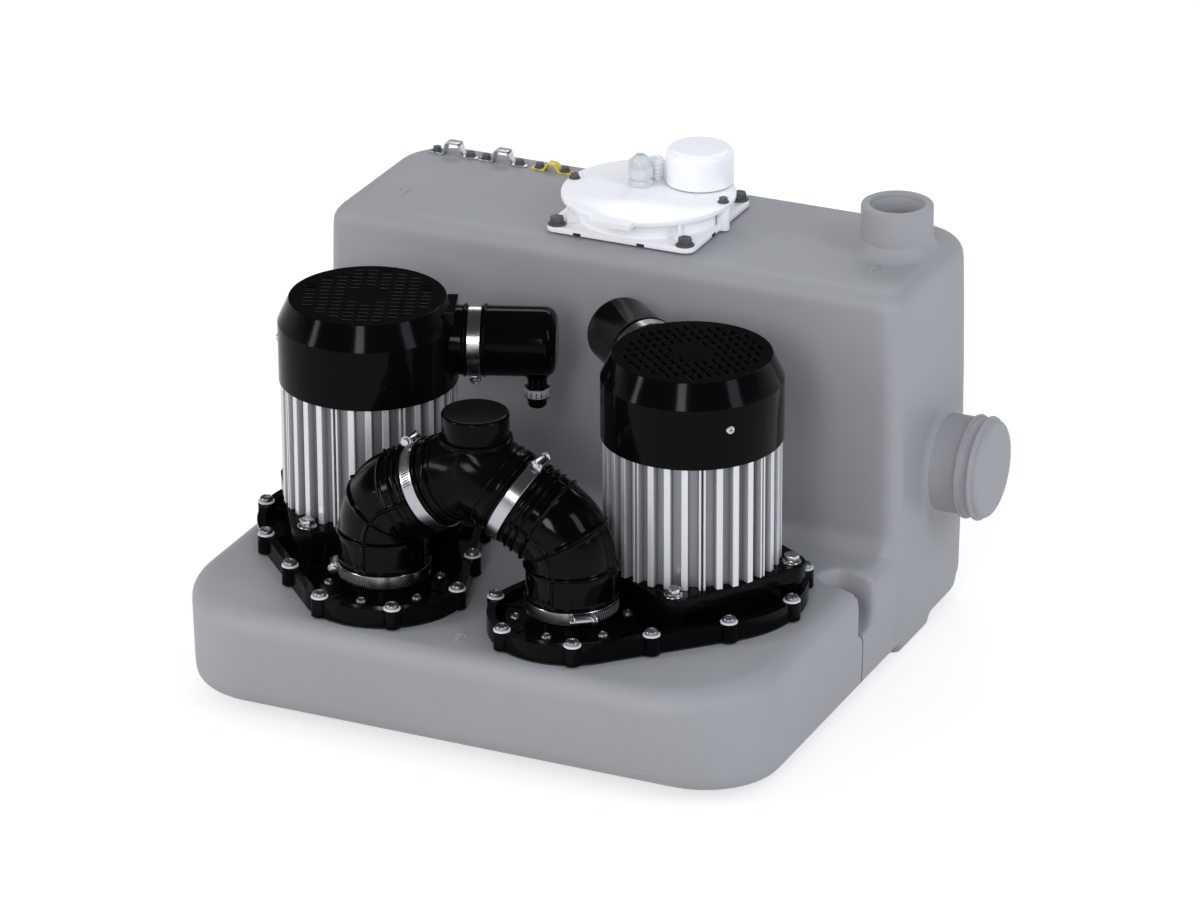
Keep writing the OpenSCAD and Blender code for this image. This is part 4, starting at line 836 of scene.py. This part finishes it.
def make_boot(name, side):
    """A ribbed rubber elbow: rings from its foot to its end, and back inside"""
    turns = []
    for a in RIDGES:
        turns += [a + d for d in (-2.7, -2.2, -1.6, -1.0, -0.4, 0.4, 1.0, 1.6, 2.2, 2.7)]
        turns += [a + 7 + i * 5.8 for i in range(14)]
    turns.sort()
    ends = (0.0, 0.3, 0.8, 1.4, 2.2, 3.2, 4.4)
    marks = set(ends) | {BOOT_LONG - e for e in ends}
    for at, high, wide in HOOPS:
        marks |= {at + wide * d for d in (-1.05, -0.8, -0.55, -0.3, 0, 0.3, 0.55, 0.8, 1.05)}
    marks |= {i * 3.0 for i in range(1, int(BOOT_LONG / 3))}
    rings = []

    def ring(s, r_of):
        mid, out, ahead = boot_frame(s)
        across = Vector((0, 1, 0))
        rings.append([tuple(mid + (out * math.cos(math.radians(t)) + across
                                   * math.sin(math.radians(t))) * r_of(s, t)) for t in turns])
    for s in sorted(marks):
        ring(s, boot_radius)
    inner = [BOOT_LONG, BOOT_LONG - 1]
    k = BOOT_LONG - 6
    while k > 4:
        inner.append(k)
        k -= 6
    inner += [1, 0]
    for s in inner:
        ring(s, lambda s, t: BOOT_INSIDE)
    shape = Shape()
    shape.rings(rings, at_outlet(side), loop=True)
    fit_on(shape.mesh(name + "_elbow", smooth=60), "station", "boot", (name + "_boot",))


def band_shape(r):
    shape = Shape()
    half, out = BAND_WIDE / 2, r + BAND_PROUD
    shape.turned([(r + 0.15, -half), (r + 0.9, -half), (out, -half + 0.35),
                  (out, half - 0.35), (r + 0.9, half), (r + 0.15, half)], 128, loop=True)
    return shape


def worm_parts(r):
    """The housing and the screw that pull a band tight, at +X"""
    house = Shape()
    rings = []
    for y, grow in ((-8.2, -0.5), (-7.4, 0.0), (7.4, 0.0), (8.2, -0.5)):
        rings.append([(r + 0.6 + h * (1 + 0.04 * grow), y, z * (1 + 0.06 * grow))
                      for h, z in ((0, -5.8), (2.2, -5.8), (4.8, -4.9), (6.4, -3.0), (7.0, 0),
                                   (6.4, 3.0), (4.8, 4.9), (2.2, 5.8), (0, 5.8))])
    house.rings(rings)
    screw = Shape()
    axis = shift(r + 4.6, 0, 0) @ spin(-90, "X")
    screw.turned([(AXIS, -12), (2.6, -12), (3.0, -11.6), (3.0, 8), (4.6, 8.3), (5.0, 9.0),
                  (5.0, 9.6), (AXIS, 9.6)], 32, axis)
    screw.prism(hexagon(4.0), 9.5, 13.0, axis)
    return house, screw


def make_bands():
    """Slotted strips with a worm housing and screw, round the elbows and the pots"""
    places = []
    slot_count, first_slot, slot_step, slot_slant = 20, 12, 3.1, 8
    for side in SIDES.values():
        foot = at_outlet(side) @ shift(0, 0, FOOT_BAND) @ spin(WORM_TURN[side])
        places.append(("boot", BOOT_BAND_R, foot))
        places.append(("boot", BOOT_BAND_R, at_arm(side, ARM_BAND)))
        places.append(("pot", POT_BAND_R, at_pot(side) @ shift(0, 0, POT_BAND)))
    for kind, node in (("boot", "boot_bands"), ("pot", "pot_bands")):
        strips, houses, screws, slots = Shape(), Shape(), Shape(), []
        for what, r, place in places:
            if what != kind:
                continue
            one = band_shape(r)
            strips.add(one.verts, one.faces, place)
            house, screw = worm_parts(r)
            houses.add(house.verts, house.faces, place)
            screws.add(screw.verts, screw.faces, place)
            for i in range(slot_count):
                slots.append(place @ spin(first_slot + i * slot_step)
                             @ shift(r + BAND_PROUD + 0.01, 0, 0) @ spin(90, "Y") @ spin(slot_slant))
        fit_on(strips.mesh(kind + "_band_strips", smooth=30), "station", "band", (node,))
        fit_on(houses.mesh(kind + "_band_houses", 0.35, smooth=40), "station", "band", ())
        fit_on(screws.mesh(kind + "_band_screws", 0.2, smooth=40), "station", "bolt", ())
        # Painted shade: a thin dark grey plate lies on the strip at each slot, standing for the shade
        # in it
        tooth = Shape()
        tooth.block((7.6, 1.25, 0.24))
        small = tooth.mesh("band_slot")
        set_on_points(kind + "_band_slots", small, slots, "screw")
        scrap(small)


def flange_places(side):
    places = []
    for s in (-1, 1):
        for a in FLANGE_BOLT_TURNS:
            places.append(at_pump(side) @ spin(s * a) @ shift(FLANGE_BOLT_R, 0, 0))
        places.append(at_pump(side) @ shift(CORNER_BOLT_X, s * CORNER_BOLT_Y, 0))
    for a in NOSE_BOLT_TURNS:
        nose = at_pump(side) @ shift(OUTLET_REACH, 0, 0) @ spin(a)
        places.append(nose @ shift(NOSE_BOLT_R, 0, 0))
    return places


def make_flange_bolts():
    """Pale washers and domed heads round both flanges"""
    spots = [p @ shift(0, 0, FLANGE_TOP) for side in SIDES.values() for p in flange_places(side)]
    washer = Shape()
    washer.turned([(3.9, 0), (7.3, 0), (7.9, 0.35), (8.0, 0.9), (7.8, 1.4), (7.2, 1.75), (3.9, 1.8)],
                  40, loop=True)
    head = Shape()
    head.turned([(AXIS, 1.7), (5.6, 1.7), (6.3, 2.1), (6.35, 3.4), (6.0, 4.6), (5.2, 5.5),
                 (4.0, 6.1), (2.6, 6.35), (2.2, 5.4), (AXIS, 5.2)], 36)
    for name, shape, look, stands_for in (("flange_washers", washer, "washer", ("flange_bolts",)),
                                          ("flange_bolt_heads", head, "head", ())):
        small = shape.mesh(name + "_one")
        set_on_points(name, small, spots, look, stands_for)
        scrap(small)


def make_port_screws():
    small = Shape()
    small.turned([(AXIS, 0), (5.0, 0), (5.1, 0.5), (4.7, 1.9), (3.6, 3.1), (2.2, 3.7), (1.8, 3.0),
                  (AXIS, 2.9)], 28)
    one = small.mesh("port_screw_one")
    spots = [at_pump(s) @ shift(OUTLET_REACH, 0, PORT_TOP) @ spin(a) @ shift(PORT_SCREW_R, 0, 0)
             for s in SIDES.values() for a in PORT_SCREW_TURNS]
    set_on_points("port_screw_heads", one, spots, "head", ("port_screws",))
    scrap(one)


def make_hexes():
    """The same flanged hex head on the motor plates, the cover's base, the clips and the lid"""
    hexes = Shape()
    hexes.turned([(AXIS, 0), (9.0, 0), (9.1, 0.5), (8.6, 1.3), (7.4, 2.0), (AXIS, 2.2)], 36)
    hexes.rings([[(x, y, z) for x, y in hexagon(7.2 * share)] for share, z in
                 ((1, 1.4), (1, 6.9), (0.9, 7.6), (0.6, 7.6), (0.55, 7.2))])
    one = hexes.mesh("hex_one", 0.25)
    plates = [at_pump(s) @ spin(a) @ shift(PLATE_BOLT_R, 0, PLATE_TOP)
              for s in SIDES.values() for a in (45, 135, 225, 315)]
    base = [shift(x * COVER_BOLT_X, COVER_Y + y * COVER_BOLT_Y, TANK_TOP + COVER_BASE_T)
            for x in (-1, 1) for y in (-1, 1)]
    clips = [at_clip(i) @ shift(s * span, 0, CLIP_T)
             for i, span in enumerate(CLIP_SCREWS) for s in (-1, 1)]
    lid = [shift(s * LID_SCREW_X, COVER_Y, LID_TOP) for s in (-1, 1)]
    for name, spots, look, slot, node, scale in (
            ("plate_hexes", plates, "bolt", "bright_steel", "plate_bolts", 1.0),
            ("cover_hexes", base, "screw", "dark_fastener", "cover_bolts", 1.0),
            ("clip_hexes", clips, "screw", "dark_fastener", "clip_screws", 0.6),
            ("lid_hexes", lid, "screw", "dark_fastener", "lid_screws", 0.62)):
        set_on_points(name, one, spots, look, (node,), scale)
    scrap(one)


def make_hood_screws():
    """One cross-slotted screw in the side of each fan cover, its cross painted on as dark bars for
    the shade in the slots
    """
    head = Shape()
    head.turned([(AXIS, -0.6), (4.0, -0.6), (4.1, 0.3), (3.5, 1.2), (2.0, 1.7), (AXIS, 1.8)], 28)
    one = head.mesh("cover_screw_one")
    # Painted shade: thin dark bars on the head stand for the shade in the cross slots
    arms = Shape()
    arms.block((4.2, 0.9, 0.3), shift(0, 0, 1.72))
    arms.block((0.9, 4.2, 0.3), shift(0, 0, 1.73))
    cross = arms.mesh("cross_one")
    spots = [at_pump(s) @ spin(POT_TURN + (0 if s > 0 else 180))
             @ shift(HOOD_SCREW_OUT, 0, HOOD_SCREW_UP) @ spin(90, "Y") for s in SIDES.values()]
    set_on_points("hood_screws", one, spots, "bolt", ("fan_cover_screws",))
    set_on_points("hood_screw_crosses", cross, spots, "screw")
    scrap(one)
    scrap(cross)


def make_clips():
    """Hat clips bent from strap, their corners rounded as a press leaves them"""
    for kind, places, span, hat_w, hat_h, wide, look, slot in (
            ("pipe_clips", (0, 1), 36, 16, 14, 10, "clip", "clip_steel"),
            ("cable_clip", (2,), 27, 11, 9, 9, "yellow", "yellow_plastic")):
        half_t = CLIP_T / 2
        foot_x, foot_r, top_r = hat_w / 2 + 3.8, 2.2, 2.8
        mid = ([(span / 2 + 8, half_t)] + arc(foot_x, half_t + foot_r, foot_r, 270, 188, 5)
               + arc(hat_w / 2 - 3.4, hat_h - half_t - top_r, top_r, 8, 90, 6))
        mid = mid + [(-x, z) for x, z in reversed(mid)]
        shape = Shape()
        upper, lower = [], []
        for i, (x, z) in enumerate(mid):
            ahead = Vector(mid[min(i + 1, len(mid) - 1)]) - Vector(mid[max(i - 1, 0)])
            ahead.normalize()
            upper.append((x + ahead.y * half_t, z - ahead.x * half_t))
            lower.append((x - ahead.y * half_t, z + ahead.x * half_t))
        rings = []
        for (x, z), (ux, uz), (lx, lz) in zip(mid, upper, lower):
            half = wide / 2 - (1.2 if abs(x) > span / 2 + 3 else 0)
            rings.append([(ux, -half, uz), (ux, half, uz), (lx, half, lz), (lx, -half, lz)])
        for i in places:
            shape.rings(rings, at_clip(i))
        fit_on(shape.mesh(kind + "_bent", 0.25, smooth=40), "station", look, (kind,))


def make_glands():
    """The clear nut on the lid, and the grey rings on the pots' cable glands"""
    place = shift(LID_GLAND_X, COVER_Y + LID_GLAND_BACK, LID_TOP)
    nut = Shape()
    for steps in (((11.2, 0.1), (12, 0.8), (12, 5.2), (11.2, 5.9)),
                  ((11.0, 7.2), (11.8, 8.0), (11.8, 17.6), (11.0, 18.6))):
        nut.rings([[(x, y, z) for x, y in hexagon(r, 12)] for r, z in steps], place)
    dome = [(10.4 * math.cos(math.radians(a)), 19.6 + 11.2 * math.sin(math.radians(a)))
            for a in range(0, 66, 6)]
    nut.turned([(9.6, -1), (9.6, 18.4), (10.4, 18.6)] + dome + [(4.2, 30.4), (4.0, 29.6), (4.0, -1)],
               48, place, loop=True)
    ribs = Shape()
    rib_count, grip_count = 18, 16
    for i in range(rib_count):
        ribs.block((1.3, 1.1, 5.6), place @ spin(i * 360 / rib_count) @ shift(10.5, 0, 21.6))
    fit_on(nut.mesh("lid_gland_nut", 0.25, smooth=34), "station", "clear", ("lid_gland",))
    fit_on(ribs.mesh("lid_gland_ribs", 0.2), "station", "clear", ())
    rings, grips = Shape(), Shape()
    for side in SIDES.values():
        spot = at_pot(side) @ shift(0, 0, POT_GLAND) @ spin(90, "Y") @ shift(0, 0, GLAND_RING)
        rings.turned([(8.8, 11.2), (12.2, 11.2), (12.6, 11.8), (12.6, 18.6), (12.2, 19.2),
                      (8.8, 19.2)], 48, spot, loop=True)
        for i in range(grip_count):
            grips.block((0.9, 1.5, 5.4), spot @ spin(i * 360 / grip_count) @ shift(12.6, 0, 15.2))
    fit_on(rings.mesh("pot_gland_rings", smooth=34), "station", "grey", ())
    fit_on(grips.mesh("pot_gland_grips", 0.15), "station", "band", ())


def make_manifold_beads():
    """Round beads on the outlet's arms and neck, and dark blocks painted as the shade in the small
    notches of the cover's base
    """
    beads = Shape()
    for side in SIDES.values():
        for along, r, thick in ((45.2, 39.7, 1.5), (50.4, 39.5, 1.5), (57.4, 39.4, 1.3)):
            beads.turned(bead(r, thick), 96, at_arm(side, along), loop=True)
    way = at_arm(1, 0)
    along = (way.translation.x - PUMP_MID) / -way.col[2].x
    meet_z = way.translation.z + along * way.col[2].z
    lip = shift(PUMP_MID, OUTLET_Y, meet_z + NECK_RISE)
    beads.turned(bead(LIP_BEAD_R, LIP_BEAD, LIP_BEAD), 96, lip, loop=True)
    fit_on(beads.mesh("outlet_arm_beads", smooth=60), "station", "black", ())
    # Painted shade: thin dark blocks stand where the notches in the cover's base are, for the shade
    # inside them
    notch_shade_blocks = Shape()
    base_front, base_side, notch_z = COVER_Y - 72.3, 75.3, TANK_TOP + 3.4
    for x in (-41, 24):
        notch_shade_blocks.block((7.6, 1.0, 2.6), shift(x, base_front, notch_z))
    notch_shade_blocks.block((1.0, 7.6, 2.6), shift(base_side, COVER_Y - 20, notch_z))
    fit_on(notch_shade_blocks.mesh("base_notches"), "station", "dark", ())


def dress_solids():
    for s in ("left_", "right_"):
        coat(s + "flange", "black")
        softened(s + "motor_plate", "black", 1.2, 3)
        softened(s + "housing", "fins", 0.3, 1)
        softened(s + "fan_cover", "hood", 0.35, 2, 15.0, 16.0, False)
        softened(s + "pot", "hood", 0.6)
        softened(s + "pot_gland", "black", 0.6)
        for node, look in (("casing", "dark"), ("impeller", "dark"), ("shaft", "shaft"),
                           ("seal", "soft"), ("bearings", "shaft"), ("stator", "copper"),
                           ("rotor", "iron"), ("fan", "dark"), ("flap", "soft")):
            coat(s + node, look)
    softened("outlet_manifold", "black", 1.0)
    softened("outlet_cap", "black", 0.7)
    softened("cover_base", "white", 0.6)
    softened("cover_lid", "white", 0.6)
    softened("vent_cap", "white", 0.6)
    softened("vent_tube", "white", 0.4)
    for node, look in (("cover_gasket", "soft"), ("level_switch", "dark"), ("dip_tube", "grey"),
                       ("cap_seal", "soft"), ("flange_gaskets", "soft"), ("end_shields", "can"),
                       ("capacitors", "can")):
        coat(node, look)


def coat(node, look):
    thing = frame["nodes"][node]
    thing.data.materials.clear()
    thing.data.materials.append(finish[look])


set_camera()
set_world()
set_floor()
set_lights()
make_tank()
make_stubs()
make_marks()
for side_name, side_sign in SIDES.items():
    make_boot(side_name, side_sign)
make_bands()
make_flange_bolts()
make_port_screws()
make_hexes()
make_hood_screws()
make_clips()
make_glands()
make_manifold_beads()
dress_solids()

scene = bpy.context.scene
scene.view_settings.view_transform = "Standard"
